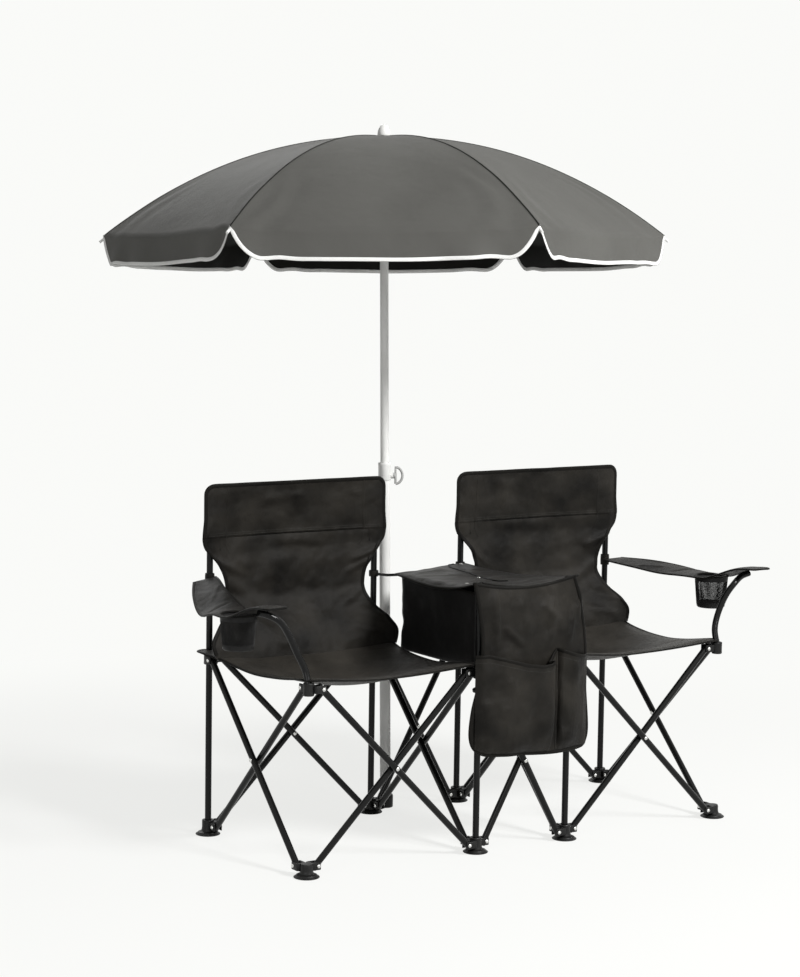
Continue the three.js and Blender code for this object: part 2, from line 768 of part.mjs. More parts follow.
// The knob's screw ends just short of the upper pole, and its loop is a flat D.
function knob() {
  const way = bearing(knobBearing);
  const at = (reach, rise) => way.clone().multiplyScalar(reach).setZ(knobHeight + rise);
  const stemStart = lowerPoleBore + runningGap;
  const bossStart = collarRadius + overrun + runningGap;
  const half = knobLoopHeight / 2 - knobLoopBar;
  const loopReach = knobLoopReach - knobBossReach - 2 * knobLoopBar;
  const bow = [];
  for (let i = 0; i <= knobLoopSteps; i += 1) {
    const turn = -Math.PI / 2 + (Math.PI * i) / knobLoopSteps;
    bow.push(at(knobBossReach + knobLoopBar + loopReach * Math.cos(turn), half * Math.sin(turn)));
  }
  const back = at(knobBossReach + knobLoopBar, 0);
  return join([
    bar(at(stemStart, 0), at(bossStart + knobLoopBar, 0), rivetRadius, rivetSides),
    bar(at(bossStart, 0), at(knobBossReach + knobLoopBar, 0), knobBossRadius, poleSides),
    swept(new PointLine(bow), knobLoopBar, knobLoopSides, knobLoopSteps),
    bar(
      back.clone().setZ(back.z - knobLoopHeight / 2),
      back.clone().setZ(back.z + knobLoopHeight / 2),
      knobLoopBar,
      knobLoopSides,
    ),
  ]);
}

// A slot that leaves a rib or a stretcher free to swing in its upright plane.
function slot(degrees, offset, low, high) {
  const way = bearing(degrees);
  const across = new THREE.Vector3().crossVectors(up, way);
  const reach = crownRadius + overrun - slotInnerRadius;
  const centre = way
    .clone()
    .multiplyScalar(slotInnerRadius + reach / 2)
    .addScaledVector(across, offset)
    .setZ((low + high) / 2);
  return block(centre, way, reach, slotWidth, high - low);
}

const ribBearings = Array.from({ length: ribCount }, (_, i) => ribBearing + ribStep * i);
const ribHingeHeight = canopyTop - ribHingeDrop;
const crownTop = canopyTop - crownGap;

function upperPole() {
  const bottom = collarTop - upperPoleOverlap;
  const tube = bar(axis(bottom), axis(crownTop - crownHeight), upperPoleRadius, poleSides);
  const crown = bar(axis(crownTop - crownHeight), axis(crownTop), crownRadius, poleSides);
  const slotTop = ribHingeHeight + ribTipRadius + runningGap;
  const slots = ribBearings.map((degrees) =>
    slot(degrees, 0, crownTop - crownHeight - overrun, slotTop),
  );
  const neck = bar(axis(crownTop), axis(canopyTop + finialStep), finialNeckRadius, poleSides);
  const base = canopyTop + finialStep;
  const dome = [[0, base], [finialRadius, base]];
  const domeSteps = 5;
  const brim = finialHeight / domeSteps;
  for (let i = 0; i < domeSteps; i += 1) {
    const turn = (Math.PI / 2) * (i / domeSteps);
    const rise = brim + (finialHeight - brim) * Math.sin(turn);
    dome.push([finialRadius * Math.cos(turn), base + rise]);
  }
  dome.push([0, base + finialHeight]);
  return join([cut(crown, slots), tube, neck, turned(dome, poleSides)]);
}

// Rings of the canopy, and the height of its middle surface over a rib, straight between rings.
const ringRadii = canopyRingShares.map((share) =>
  THREE.MathUtils.lerp(canopyHoleRadius, canopyRadius, share),
);
const ringHeights = ringRadii.map(
  (radius) => canopyTop - canopyDrop * (radius / canopyRadius) ** canopyDropPower,
);

function canopyHeight(radius) {
  return between(radius, ringRadii, ringHeights);
}

// The rib axis starts at its hinge in the crown and then runs a set distance below the cloth.
function ribPoint(way, radius) {
  const settled = THREE.MathUtils.smoothstep(radius, ribHingeRadius, 2 * crownRadius);
  const drop = THREE.MathUtils.lerp(ribHingeDrop, ribClearance, settled);
  const flat = canopyTop - drop;
  const sloped = canopyHeight(radius) - ribClearance;
  const height = THREE.MathUtils.lerp(flat, sloped, settled);
  return way.clone().multiplyScalar(radius).setZ(height);
}

function rib(degrees) {
  const way = bearing(degrees);
  const across = new THREE.Vector3().crossVectors(up, way);
  const inside = ringRadii.filter((radius) => radius > 2 * crownRadius);
  const reaches = [ribHingeRadius, crownRadius, 2 * crownRadius, ...inside];
  const points = reaches.map((reach) => ribPoint(way, reach));
  const rod = swept(new PointLine(points), ribRadius, ribSides, points.length - 1);
  const tipEnd = canopyRadius + ribTipOverhang;
  const tip = bar(
    ribPoint(way, tipEnd - ribTipLength),
    ribPoint(way, tipEnd),
    ribTipRadius,
    ribSides,
  );
  const eye = bar(
    points[0].clone().addScaledVector(across, slotWidth / 2 - runningGap),
    points[0].clone().addScaledVector(across, runningGap - slotWidth / 2),
    ribTipRadius,
    ribSides,
  );
  return join([rod, eye, tip]);
}

// The place on a rib whose distance from the hinge is the stretcher's own length, so that the
// rib and the stretcher fold as two equal sides of a triangle.
function stretcherJoint(way) {
  const hinge = ribPoint(way, ribHingeRadius);
  let low = ribHingeRadius;
  let high = canopyRadius;
  for (let i = 0; i < halvings; i += 1) {
    const middle = (low + high) / 2;
    if (ribPoint(way, middle).distanceTo(hinge) < stretcherLength) low = middle;
    else high = middle;
  }
  return ribPoint(way, (low + high) / 2);
}

const sampleJoint = stretcherJoint(bearing(ribBearing));
const runnerPinHeight = 2 * sampleJoint.z - ribHingeHeight;

function stretcher(degrees) {
  const way = bearing(degrees);
  const across = new THREE.Vector3().crossVectors(up, way);
  const outer = stretcherJoint(way).addScaledVector(across, stretcherOffset);
  const inner = way
    .clone()
    .multiplyScalar(ribHingeRadius)
    .addScaledVector(across, stretcherOffset)
    .setZ(runnerPinHeight);
  const eye = (pin) =>
    bar(
      pin.clone().addScaledVector(across, stretcherEyeThickness),
      pin.clone().addScaledVector(across, -stretcherEyeThickness),
      stretcherEyeRadius,
      ribSides,
    );
  return join([bar(inner, outer, stretcherRadius, ribSides), eye(inner), eye(outer)]);
}

function runner() {
  const top = runnerPinHeight + runnerPinDrop;
  const low = top - runnerHeight;
  const flange = bar(axis(runnerPinHeight - runnerPinDrop), axis(top), crownRadius, poleSides);
  const skirt = bar(axis(low), axis(top), runnerSkirtRadius, poleSides);
  const bore = bar(axis(low - overrun), axis(top + overrun), runnerBore, poleSides);
  const slots = ribBearings.map((degrees) =>
    slot(degrees, stretcherOffset, runnerPinHeight - stretcherEyeRadius - runningGap, top + overrun),
  );
  return cut(join([flange, skirt]), [bore, ...slots]);
}

place(umbrella, "lower_pole", "pole", lowerPole());
place(umbrella, "clamp_knob", "pole", knob());
place(umbrella, "upper_pole", "pole", upperPole());
place(umbrella, "runner", "ribs", runner());
ribBearings.forEach((degrees, i) => {
  place(umbrella, `rib_${i + 1}`, "ribs", rib(degrees));
  place(umbrella, `stretcher_${i + 1}`, "ribs", stretcher(degrees));
});

// Canopy: each gore runs straight from rib to rib and sags a little, and the valance hangs from
// its rim, notched up at every rib.
function canopy() {
  const rows = ringRadii.map((radius, i) => {
    const row = [];
    ribBearings.forEach((degrees) => {
      const near = bearing(degrees).multiplyScalar(radius);
      const far = bearing(degrees + ribStep).multiplyScalar(radius);
      for (const across of panelShares) {
        const sag = panelSag * (1 - (2 * across - 1) ** 2) * (radius / canopyRadius);
        row.push(near.clone().lerp(far, across).setZ(ringHeights[i] - sag));
      }
    });
    return row;
  });
  const rim = rows[rows.length - 1];
  const hems = [1 / 2, 1].map((share) =>
    rim.map((point, i) => {
      const depthShare = valanceShares[i % valanceShares.length];
      const fall = (notchHeight + (valanceHeight - notchHeight) * depthShare) * share;
      const outward = point.clone().setZ(0).normalize();
      const flare = valanceFlare * depthShare * share;
      return point.clone().addScaledVector(outward, flare).setZ(point.z - fall);
    }),
  );
  return sheet([...rows, ...hems], canopyThickness, true);
}

place(umbrella, "canopy", "canopy", canopy());

const backFreeHalf = seatPitch / 2 - sleeveHalfDepth; // cloth that can belly between the posts

// How freely the seat hangs at a place across it: not at all where the hubs hold its corners.
function hang(across) {
  return Math.max(1 - (across / cornerHoldShare) ** 2, 0);
}

function seatHeight(across, along) {
  const sag = frontSag * hang(across) + sideSag * hang(along) + seatSag * hang(across) * hang(along);
  return seatCornerHeight - sag;
}

// Slings: a hammock seat and a shaped back sewn together, with sleeves over the rear posts.
function slingSeat(middleX) {
  const rows = seatShares.map((v, i) =>
    seatShares.map((u) => {
      const across = 2 * u - 1;
      const along = 2 * v - 1;
      const bow = (along < 0 ? seatRearBow : seatBow) * hang(across);
      return new THREE.Vector3(
        middleX + across * seatHalf * seatEdgeShares[i],
        -seatPitch / 2 - along * (seatHalf - bow),
        seatHeight(across, along),
      );
    }),
  );
  return sheet(rows, clothThickness);
}

function slingBack(middleX) {
  const rows = backRowShares.map((v) => {
    const half = backHalfWidth * between(v, backHeightShares, backWidthShares);
    const foot = backFootForward * between(v, backHeightShares, backFootShares);
    return evenShares(clothColumns).map((u) => {
      const across = 2 * u - 1;
      const footRun = seatPitch / 2 - backBottomForward - backFootForward;
      const base = seatHeight(across, -footRun / (seatHalf - seatRearBow * hang(across)));
      const height = THREE.MathUtils.lerp(base, backTop, v);
      const free = Math.max(1 - ((across * half) / backFreeHalf) ** 2, 0);
      const belly = backBelly * free * Math.sin(Math.PI * v);
      const rest = eased(height, armRestTop, sleeveBottom, backBottomForward, backForward);
      const raised = eased(height, headrestSeam - headrestStep, headrestSeam + headrestStep, 0, 1);
      const headrest = headrestStep * raised * free;
      return new THREE.Vector3(middleX + across * half, belly - rest - headrest - foot, height);
    });
  });
  return sheet(rows, clothThickness);
}

function postSleeve(x) {
  const outer = new THREE.CylinderGeometry(1, 1, sleeveTop - sleeveBottom, sleeveSides);
  outer.rotateX(Math.PI / 2);
  outer.scale(sleeveHalfWidth, sleeveHalfDepth, 1);
  outer.translate(x, 0, (sleeveTop + sleeveBottom) / 2);
  return solid(outer);
}

function sling(outerColumn, innerColumn) {
  const posts = [columnX[outerColumn], columnX[innerColumn]];
  const middleX = (posts[0] + posts[1]) / 2;
  const hole = (x, y, low, high) =>
    bar(new THREE.Vector3(x, y, low), new THREE.Vector3(x, y, high), hubBoreRadius, moldedSides);
  const seatLow = seatCornerHeight - clothThickness - overrun;
  const seatHigh = seatCornerHeight + clothThickness + overrun;
  const bores = posts.flatMap((x) => [
    hole(x, 0, sleeveBottom - overrun, rearPostTop + runningGap),
    hole(x, 0, seatLow, seatHigh),
  ]);
  const [, setbackShare, riseShare] = armBendShares[1];
  const armFoot = corner(outerColumn, "front").setZ(hubPinHeight);
  const armBend = armFoot.clone();
  armBend.add(new THREE.Vector3(0, armSetback * setbackShare, armRise * riseShare));
  for (const x of posts) bores.push(hole(x, -seatPitch, seatLow, seatHigh));
  bores.push(bar(armFoot, armBend, hubBoreRadius + runningGap, moldedSides));
  const sewn = join([slingSeat(middleX), slingBack(middleX), ...posts.map(postSleeve)]);
  return cut(sewn, bores);
}

place(chair, "left_sling", "oxford", sling("left_outer", "left_inner"));
place(chair, "right_sling", "oxford", sling("right_outer", "right_inner"));

// Arm rests: a strap from a sleeve on the rear post, over the arm tube, with a cup pocket in it.
function strapCentre(column, share) {
  const outward = column === "left_outer" ? -1 : 1;
  const forward = armStrapLength * share;
  const reach = armReach * between(share, strapForwardShares, strapReachShares);
  const rise = armStrapRearRise * between(share, strapForwardShares, strapRiseShares);
  const level = eased(forward, cupForward, seatPitch, armStrapMiddleHeight, armStrapFrontHeight);
  return new THREE.Vector3(columnX[column] + outward * reach, -forward, level + rise);
}

function armRest(column) {
  const outward = column === "left_outer" ? -1 : 1;
  const startShare = hubBoreRadius / armStrapLength;
  const rows = evenShares(armStrapRows).map((v) => {
    const share = THREE.MathUtils.lerp(startShare, 1, v);
    const width = armStrapWidth * between(share, strapForwardShares, strapWidthShares);
    const twist = armStrapTwist * degree * between(share, strapForwardShares, strapTwistShares);
    const across = new THREE.Vector3(Math.cos(twist), 0, -outward * Math.sin(twist));
    return evenShares(armStrapColumns).map((u) =>
      strapCentre(column, share).addScaledVector(across, (u - 1 / 2) * width),
    );
  });
  const strap = sheet(rows, armStrapThickness);
  const cup = strapCentre(column, cupForward / armStrapLength);
  const low = cup.z - cupDepth;
  const wallBottom = cupBottomRadius - cupWall;
  const wallTop = cupTopRadius - cupWall;
  const pocket = turned(
    [
      [0, low],
      [cupBottomRadius, low],
      [cupTopRadius, cup.z],
      [wallTop, cup.z],
      [wallBottom, low + cupWall],
      [0, low + cupWall],
    ],
    cupSides,
    cup.x,
    cup.y,
  );
  const mouth = bar(cup, cup.clone().setZ(cup.z + overrun), wallTop, cupSides);
  const mouthBelow = bar(cup.clone().setZ(cup.z - overrun), cup, wallTop, cupSides);
  const x = columnX[column];
  const sleeve = turned(
    [
      [hubBoreRadius, armStrapRearHeight - armSleeveHeight / 2],
      [armSleeveRadius, armStrapRearHeight - armSleeveHeight / 2],
      [armSleeveRadius, armStrapRearHeight + armSleeveHeight / 2],
      [hubBoreRadius, armStrapRearHeight + armSleeveHeight / 2],
      [hubBoreRadius, armStrapRearHeight - armSleeveHeight / 2],
    ],
    sleeveSides,
    x,
  );
  return join([cut(strap, [mouth, mouthBelow]), pocket, sleeve]);
}

place(chair, "left_arm_rest", "oxford", armRest("left_outer"));
place(chair, "right_arm_rest", "oxford", armRest("right_outer"));

// Table top: a sheet over the two front posts, tied back to the two inner rear posts.
const tableFront = -seatPitch - tableFrontOverhang;

function tableTop() {
  const rows = evenShares(tableCells).map((v) =>
    evenShares(tableCells).map((u) => {
      const rear = -THREE.MathUtils.lerp(tableRearLeftStart, tableRearRightStart, u);
      const overhang = tableSideOverhang * v;
      const x = THREE.MathUtils.lerp(-overhang, tableGap + overhang, u);
      const rise = (tableFrontRise + tableCornerRise * (2 * u - 1) ** 2) * v ** tableRisePower;
      return new THREE.Vector3(x, THREE.MathUtils.lerp(rear, tableFront, v), tableHeight + rise);
    }),
  );
  const top = sheet(rows, tableThickness);
  const collar = (x, y, low, high) =>
    bar(new THREE.Vector3(x, y, low), new THREE.Vector3(x, y, high), tableSleeveRadius, sleeveSides);
  const bore = (x, y, low, high) =>
    bar(new THREE.Vector3(x, y, low), new THREE.Vector3(x, y, high), hubBoreRadius, moldedSides);
  const tieStart = new THREE.Vector3(0, -hubBoreRadius - tableTieRadius / 2, tableTieHeight);
  const tieEnd = new THREE.Vector3(tableTieRadius, -tableRearLeftStart - tableTieRadius, tableHeight);
  const frontLow = frontPostTop + tableCapHeight - tableFrontSleeveHeight;
  const rearLow = tableTieHeight - tableSleeveHeight / 2;
  const sewn = join([
    top,
    collar(0, -seatPitch, frontLow, frontPostTop + tableCapHeight),
    collar(tableGap, -seatPitch, frontLow, frontPostTop + tableCapHeight),
    collar(tableGap, 0, rearLow, tableHeight + tableThickness),
    collar(0, 0, rearLow, rearLow + tableSleeveHeight),
    bar(tieStart, tieEnd, tableTieRadius, ribSides),
  ]);
  return cut(sewn, [
    bore(0, -seatPitch, frontLow - overrun, frontPostTop + runningGap),
    bore(tableGap, -seatPitch, frontLow - overrun, frontPostTop + runningGap),
    bore(tableGap, 0, rearLow - overrun, tableHeight + tableThickness + overrun),
    bore(0, 0, rearLow - overrun, rearLow + tableSleeveHeight + overrun),
  ]);
}

place(chair, "table_top", "oxford", tableTop());

// Cooler bag: an open tub that the table top closes.
function cooler() {
  const rim = tableHeight - tableThickness / 2 - runningGap;
  const width = tableGap - 2 * coolerInset;
  const length = coolerFront - coolerRear;
  const centre = new THREE.Vector3(tableGap / 2, -(coolerFront + coolerRear) / 2, 0);
  const alongX = new THREE.Vector3(1, 0, 0);
  const outside = block(
    centre.clone().setZ((rim + coolerBottom) / 2),
    alongX,
    width,
    length,
    rim - coolerBottom,
  );
  const floor = coolerBottom + coolerWall;
  const inside = block(
    centre.clone().setZ((rim + overrun + floor) / 2),
    alongX,
    width - 2 * coolerWall,
    length - 2 * coolerWall,
    rim + overrun - floor,
  );
  return cut(outside, [inside]);
}

place(chair, "cooler_bag", "lining", cooler());

// Organizer: a panel that hangs from the table's front edge, with a wide and a narrow pocket.
function organizer() {
  const back = tableFront - organizerClearance;
  const left = -organizerOverhang;
  const right = tableGap + organizerOverhang;
  const at = ([acrossShare, downShare]) =>
    new THREE.Vector2(
      THREE.MathUtils.lerp(left, right, acrossShare),
      organizerTop - organizerHeight * downShare,
    );
  const edge = new THREE.Shape();
  const corner = at(organizerTopShares[1]);
  edge.moveTo(corner.x, corner.y);
  edge.splineThru(organizerLeftShares.map(at));
  edge.splineThru(organizerBottomShares.map(at));
  edge.splineThru(organizerRightShares.map(at));
  edge.splineThru(organizerTopShares.map(at));
  const options = { depth: organizerPanel, bevelEnabled: false, curveSegments: organizerSteps };
  const upright = new THREE.ExtrudeGeometry(edge, options);
  upright.rotateX(Math.PI / 2);
  upright.translate(0, back, 0);
  const panel = solid(upright);
  const split = THREE.MathUtils.lerp(left, right, pocketSplitShare);
  const spans = [
    [left + pocketLeftInset, split - pocketWall / 2],
    [split + pocketWall / 2, right - pocketRightInset],
  ];
  const face = back - organizerPanel;
  const front = face - pocketDepth;
  const pockets = spans.map(([start, end]) => {
    const outline = new THREE.Shape();
    outline.moveTo(start, face + organizerPanel / 2);
    outline.lineTo(start, front);
    outline.quadraticCurveTo((start + end) / 2, front - 2 * pocketBulge, end, front);
    outline.lineTo(end, face + organizerPanel / 2);
    return extrudedUp(outline, organizerBottom + pocketFloorInset, pocketTop);
  });
  const spaces = spans.map(([start, end]) => {
    const outline = new THREE.Shape();
    const near = start + pocketWall;
    const far = end - pocketWall;
    const deep = front + pocketWall;
    outline.moveTo(near, face);
    outline.lineTo(near, deep);
    outline.quadraticCurveTo((near + far) / 2, deep - 2 * pocketBulge, far, deep);
    outline.lineTo(far, face);
    return extrudedUp(outline, organizerBottom + pocketFloorInset + pocketWall, pocketTop + overrun);
  });
  return cut(join([panel, ...pockets]), spaces);
}

function extrudedUp(outline, low, high) {
  const options = { depth: high - low, bevelEnabled: false, curveSegments: tableCells };
  const geometry = new THREE.ExtrudeGeometry(outline, options);
  geometry.translate(0, 0, low);
  return solid(geometry);
}

place(chair, "organizer", "oxford", organizer());

export default chair;
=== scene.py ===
# Folding double camping chair with a sun umbrella: two sling seats on one frame of crossed steel
# tubes, with a table, a cooler bag and an organizer between them. All lengths are in metres.
import json
import math
from contextlib import contextmanager

import bmesh
import bpy
import numpy as np
from mathutils import Matrix, Vector, noise


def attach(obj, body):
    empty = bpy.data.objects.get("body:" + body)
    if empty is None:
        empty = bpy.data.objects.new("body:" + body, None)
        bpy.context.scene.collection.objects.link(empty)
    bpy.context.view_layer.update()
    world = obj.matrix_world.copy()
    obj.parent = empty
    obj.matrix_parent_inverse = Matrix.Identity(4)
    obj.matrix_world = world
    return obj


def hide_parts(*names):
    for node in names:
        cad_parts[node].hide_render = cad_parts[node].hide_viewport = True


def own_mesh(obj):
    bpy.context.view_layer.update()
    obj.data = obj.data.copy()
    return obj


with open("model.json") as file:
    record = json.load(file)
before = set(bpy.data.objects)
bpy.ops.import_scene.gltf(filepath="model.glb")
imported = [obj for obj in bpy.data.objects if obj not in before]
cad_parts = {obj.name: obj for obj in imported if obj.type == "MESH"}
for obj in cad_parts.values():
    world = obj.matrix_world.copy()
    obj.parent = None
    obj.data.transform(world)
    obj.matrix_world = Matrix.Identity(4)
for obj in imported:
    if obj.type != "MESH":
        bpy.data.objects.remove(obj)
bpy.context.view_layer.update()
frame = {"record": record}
scene = bpy.context.scene

# Camera: a long lens about six metres away, in front of the left chair and a little above its
# back, as in the photograph. The picture is 800 by 977 pixels.
picture_height = 977
focal_pixels = 2492.9
camera_place = Vector((-3.41949, -5.36989, 1.51493))
camera_yaw = math.radians(-33.07)
camera_pitch = math.radians(-5.99)
camera_roll = math.radians(0.86)

camera_data = bpy.data.cameras.new("photo_camera")
camera = bpy.data.objects.new("photo_camera", camera_data)
scene.collection.objects.link(camera)
turn = Matrix.Rotation(camera_yaw, 3, "Z")
forward = turn @ Vector((0, math.cos(camera_pitch), math.sin(camera_pitch)))
level = turn @ Vector((1, 0, 0))
above = level.cross(forward)
across_picture = math.cos(camera_roll) * level + math.sin(camera_roll) * above
up_picture = math.cos(camera_roll) * above - math.sin(camera_roll) * level
facing = Matrix((across_picture, up_picture, -forward)).transposed().to_4x4()
camera.matrix_world = Matrix.Translation(camera_place) @ facing
camera_data.sensor_fit = "AUTO"
camera_data.sensor_width = 36
camera_data.lens = focal_pixels / picture_height * camera_data.sensor_width
camera_data.shift_y = 0.5 / picture_height
camera_data.clip_end = 100
scene.camera = camera


# Studio: a pale floor that runs into a pale background, one soft key lamp from the front right, two
# weak ones from the left and the rear, and light from all round.
def node(holder, kind, attributes=None, **inputs):
    """A node of a material, world or tree, with its attributes and its input values or links."""
    tree = getattr(holder, "node_tree", holder)
    made = tree.nodes.new(kind)
    for name, value in (attributes or {}).items():
        setattr(made, name, value)
    for name, value in inputs.items():
        key = int(name[1:]) if name[1:].isdigit() else name.replace("_", " ")
        if isinstance(value, bpy.types.NodeSocket):
            tree.links.new(value, made.inputs[key])
        else:
            made.inputs[key].default_value = value
    return made


def reckon(holder, operation, vector=False, **inputs):
    """A maths node, for numbers or for vectors."""
    kind = "ShaderNodeVectorMath" if vector else "ShaderNodeMath"
    return node(holder, kind, {"operation": operation}, **inputs)


def placed(name, mesh, *finishes):
    """A scene object with a mesh and its finishes."""
    for finish in finishes:
        mesh.materials.append(finish)
    made = bpy.data.objects.new(name, mesh)
    scene.collection.objects.link(made)
    return made


scene.view_settings.view_transform = "Standard"
backdrop_colour = (0.955, 0.96, 0.94, 1)
floor_colour = (0.8, 0.8, 0.79, 1)
light_all_round = 0.31
floor_reach = 60
shadow_centre = (0.1, -0.1, 0)
shadow_ring_start = 1.2
shadow_ring_end = 2.6
floor_glow = 0.8

world = bpy.data.worlds.new("studio")
scene.world = world
world.use_nodes = True
around = world.node_tree.nodes["Background"]
around.inputs["Color"].default_value = (1, 1, 1, 1)
around.inputs["Strength"].default_value = light_all_round
seen = node(world, "ShaderNodeBackground", Color=backdrop_colour, Strength=1.0)


def seen_rays(material):
    """One for the camera's rays and for those that a shiny or clear surface sends on."""
    rays = node(material, "ShaderNodeLightPath").outputs
    both = rays["Is Camera Ray"]
    for kind in ("Is Glossy Ray", "Is Transmission Ray"):
        both = reckon(material, "MAXIMUM", _0=both, _1=rays[kind]).outputs[0]
    return both


def surface(holder, output, share, first, second):
    """Ends a shader in a mix of two shaders."""
    ways = {"_1": first.outputs[0], "_2": second.outputs[0]}
    blend = node(holder, "ShaderNodeMixShader", Fac=share, **ways)
    end = holder.node_tree.nodes[output].inputs["Surface"]
    holder.node_tree.links.new(blend.outputs[0], end)


surface(world, "World Output", seen_rays(world), around, seen)

floor_mesh = bpy.data.meshes.new("floor")
square = ((-1, -1), (1, -1), (1, 1), (-1, 1))
floor_corners = [(x * floor_reach, y * floor_reach, 0) for x, y in square]
floor_mesh.from_pydata(floor_corners, [], [(0, 1, 2, 3)])
floor_paint = bpy.data.materials.new("floor_paint")
floor_paint.use_nodes = True
floor_paint.node_tree.nodes.remove(floor_paint.node_tree.nodes["Principled BSDF"])
matt = node(floor_paint, "ShaderNodeBsdfDiffuse", Color=floor_colour)
glow = node(floor_paint, "ShaderNodeEmission", Color=backdrop_colour, Strength=1.0)
spot = node(floor_paint, "ShaderNodeTexCoord").outputs["Object"]
centred = reckon(floor_paint, "SUBTRACT", True, _0=spot, _1=shadow_centre)
distance = reckon(floor_paint, "LENGTH", True, _0=centred.outputs[0])
fade = node(
    floor_paint,
    "ShaderNodeMapRange",
    {"interpolation_type": "SMOOTHSTEP"},
    Value=distance.outputs["Value"],
    From_Min=shadow_ring_start,
    From_Max=shadow_ring_end,
    To_Min=floor_glow,
    To_Max=1.0,
)
share = reckon(floor_paint, "MULTIPLY", _0=fade.outputs[0], _1=seen_rays(floor_paint))
surface(floor_paint, "Material Output", share.outputs[0], matt, glow)
floor = placed("floor", floor_mesh, floor_paint)


def lamp(name, place, target, size, power):
    """A round soft lamp that faces a point of the object."""
    data = bpy.data.lights.new(name, "AREA")
    data.shape = "DISK"
    data.size = size
    data.energy = power
    made = bpy.data.objects.new(name, data)
    scene.collection.objects.link(made)
    made.location = place
    made.rotation_mode = "QUATERNION"
    made.rotation_quaternion = (Vector(target) - Vector(place)).to_track_quat("-Z", "Y")


key_power = 640
fill_power = 40
key_size = 1.9
fill_size = 2.4
lamp("front_right_lamp", (1.9, -5.2, 4.7), (0.1, -0.1, 0.9), key_size, key_power)
lamp("left_lamp", (-4.6, -3.4, 2.2), (-0.1, -0.2, 0.7), fill_size, fill_power)
lamp("rear_lamp", (0.8, 4.2, 3.6), (0.1, 0, 0.8), fill_size, fill_power)


# Crossed tubes: ten scissor crosses of 16 mm steel tube with black gloss enamel. Each tube is cut
# to length, drilled for its rivets and closed by a plug at both ends.
seat_pitch = 0.480
table_gap = 0.270
pin_offset = 0.030
foot_pin_height = 0.024
hub_pin_height = 0.446
middle_pin_height = 0.408
tube_radius = 0.008
tube_end = 0.011
tube_side_offset = 0.0085
tube_plug = 0.0012
plug_profile = [(0.0078, -0.001), (0.0078, 0.0002), (0.0066, tube_plug), (0, tube_plug + 0.0004)]
up = Vector((0, 0, 1))
column_x = {
    "left_outer": -seat_pitch,
    "left_inner": 0.0,
    "right_inner": table_gap,
    "right_outer": table_gap + seat_pitch,
}
row_y = {"rear": 0.0, "front": -seat_pitch}


def corner(column, row, height=0.0):
    return Vector((column_x[column], row_y[row], height))


crosses = [
    ("left_rear", ("left_inner", "rear"), ("left_outer", "rear")),
    ("middle_rear", ("left_inner", "rear"), ("right_inner", "rear")),
    ("right_rear", ("right_inner", "rear"), ("right_outer", "rear")),
    ("left_front", ("left_inner", "front"), ("left_outer", "front")),
    ("middle_front", ("left_inner", "front"), ("right_inner", "front")),
    ("right_front", ("right_inner", "front"), ("right_outer", "front")),
    ("left_outer_side", ("left_outer", "rear"), ("left_outer", "front")),
    ("left_inner_side", ("left_inner", "rear"), ("left_inner", "front")),
    ("right_inner_side", ("right_inner", "rear"), ("right_inner", "front")),
    ("right_outer_side", ("right_outer", "rear"), ("right_outer", "front")),
]


def finish(name, colour, roughness, **sockets):
    """A material whose shader has these plain values."""
    material = bpy.data.materials.new(name)
    material.use_nodes = True
    shader = material.node_tree.nodes["Principled BSDF"]
    shader.inputs["Base Color"].default_value = (*colour, 1)
    shader.inputs["Roughness"].default_value = roughness
    for key, value in sockets.items():
        shader.inputs[key.replace("_", " ")].default_value = value
    return material


def wire(material, source, socket):
    shader = material.node_tree.nodes["Principled BSDF"]
    material.node_tree.links.new(source, shader.inputs[socket])


def ramp(material, factor, stops):
    """A colour ramp with the given (place, colour) stops."""
    made = node(material, "ShaderNodeValToRGB", Fac=factor)
    while len(made.color_ramp.elements) < len(stops):
        made.color_ramp.elements.new(0.5)
    for element, (place, colour) in zip(made.color_ramp.elements, stops):
        element.position = place
        element.color = (*colour, 1)
    return made.outputs[0]


def speckle(material, scale, detail=3.0):
    """Noise over the object's own coordinates."""
    where = node(material, "ShaderNodeTexCoord").outputs["Object"]
    return node(material, "ShaderNodeTexNoise", Vector=where, Scale=scale, Detail=detail).outputs[0]


def bump(material, height, depth, strength=0.5):
    made = node(material, "ShaderNodeBump", Height=height, Distance=depth, Strength=strength)
    wire(material, made.outputs[0], "Normal")


def coated(name, dark, light, rough_low, rough_high, grain, depth, gleam=0.2):
    """Paint or plastic with slight unevenness of colour, gloss and surface."""
    material = finish(name, dark, rough_low)
    cloud = speckle(material, 9.0)
    wire(material, ramp(material, cloud, [(0.3, dark), (0.7, light)]), "Base Color")
    spread = node(
        material,
        "ShaderNodeMapRange",
        Value=speckle(material, 60.0, 5.0),
        From_Min=0.3,
        From_Max=0.7,
        To_Min=rough_low,
        To_Max=rough_high,
    )
    wire(material, spread.outputs[0], "Roughness")
    bump(material, speckle(material, grain, 2.0), depth)
    material.node_tree.nodes["Principled BSDF"].inputs["Specular IOR Level"].default_value = gleam
    return material


enamel_dark, enamel_light = (0.0035, 0.0035, 0.0035), (0.0055, 0.0055, 0.0053)
enamel_gloss = 0.12
enamel = coated(
    "black_enamel", enamel_dark, enamel_light, 0.16, 0.25, 900, 0.00001, enamel_gloss
)
for socket in ("Coat Weight", "Coat Roughness"):
    enamel.node_tree.nodes["Principled BSDF"].inputs[socket].default_value = enamel_gloss


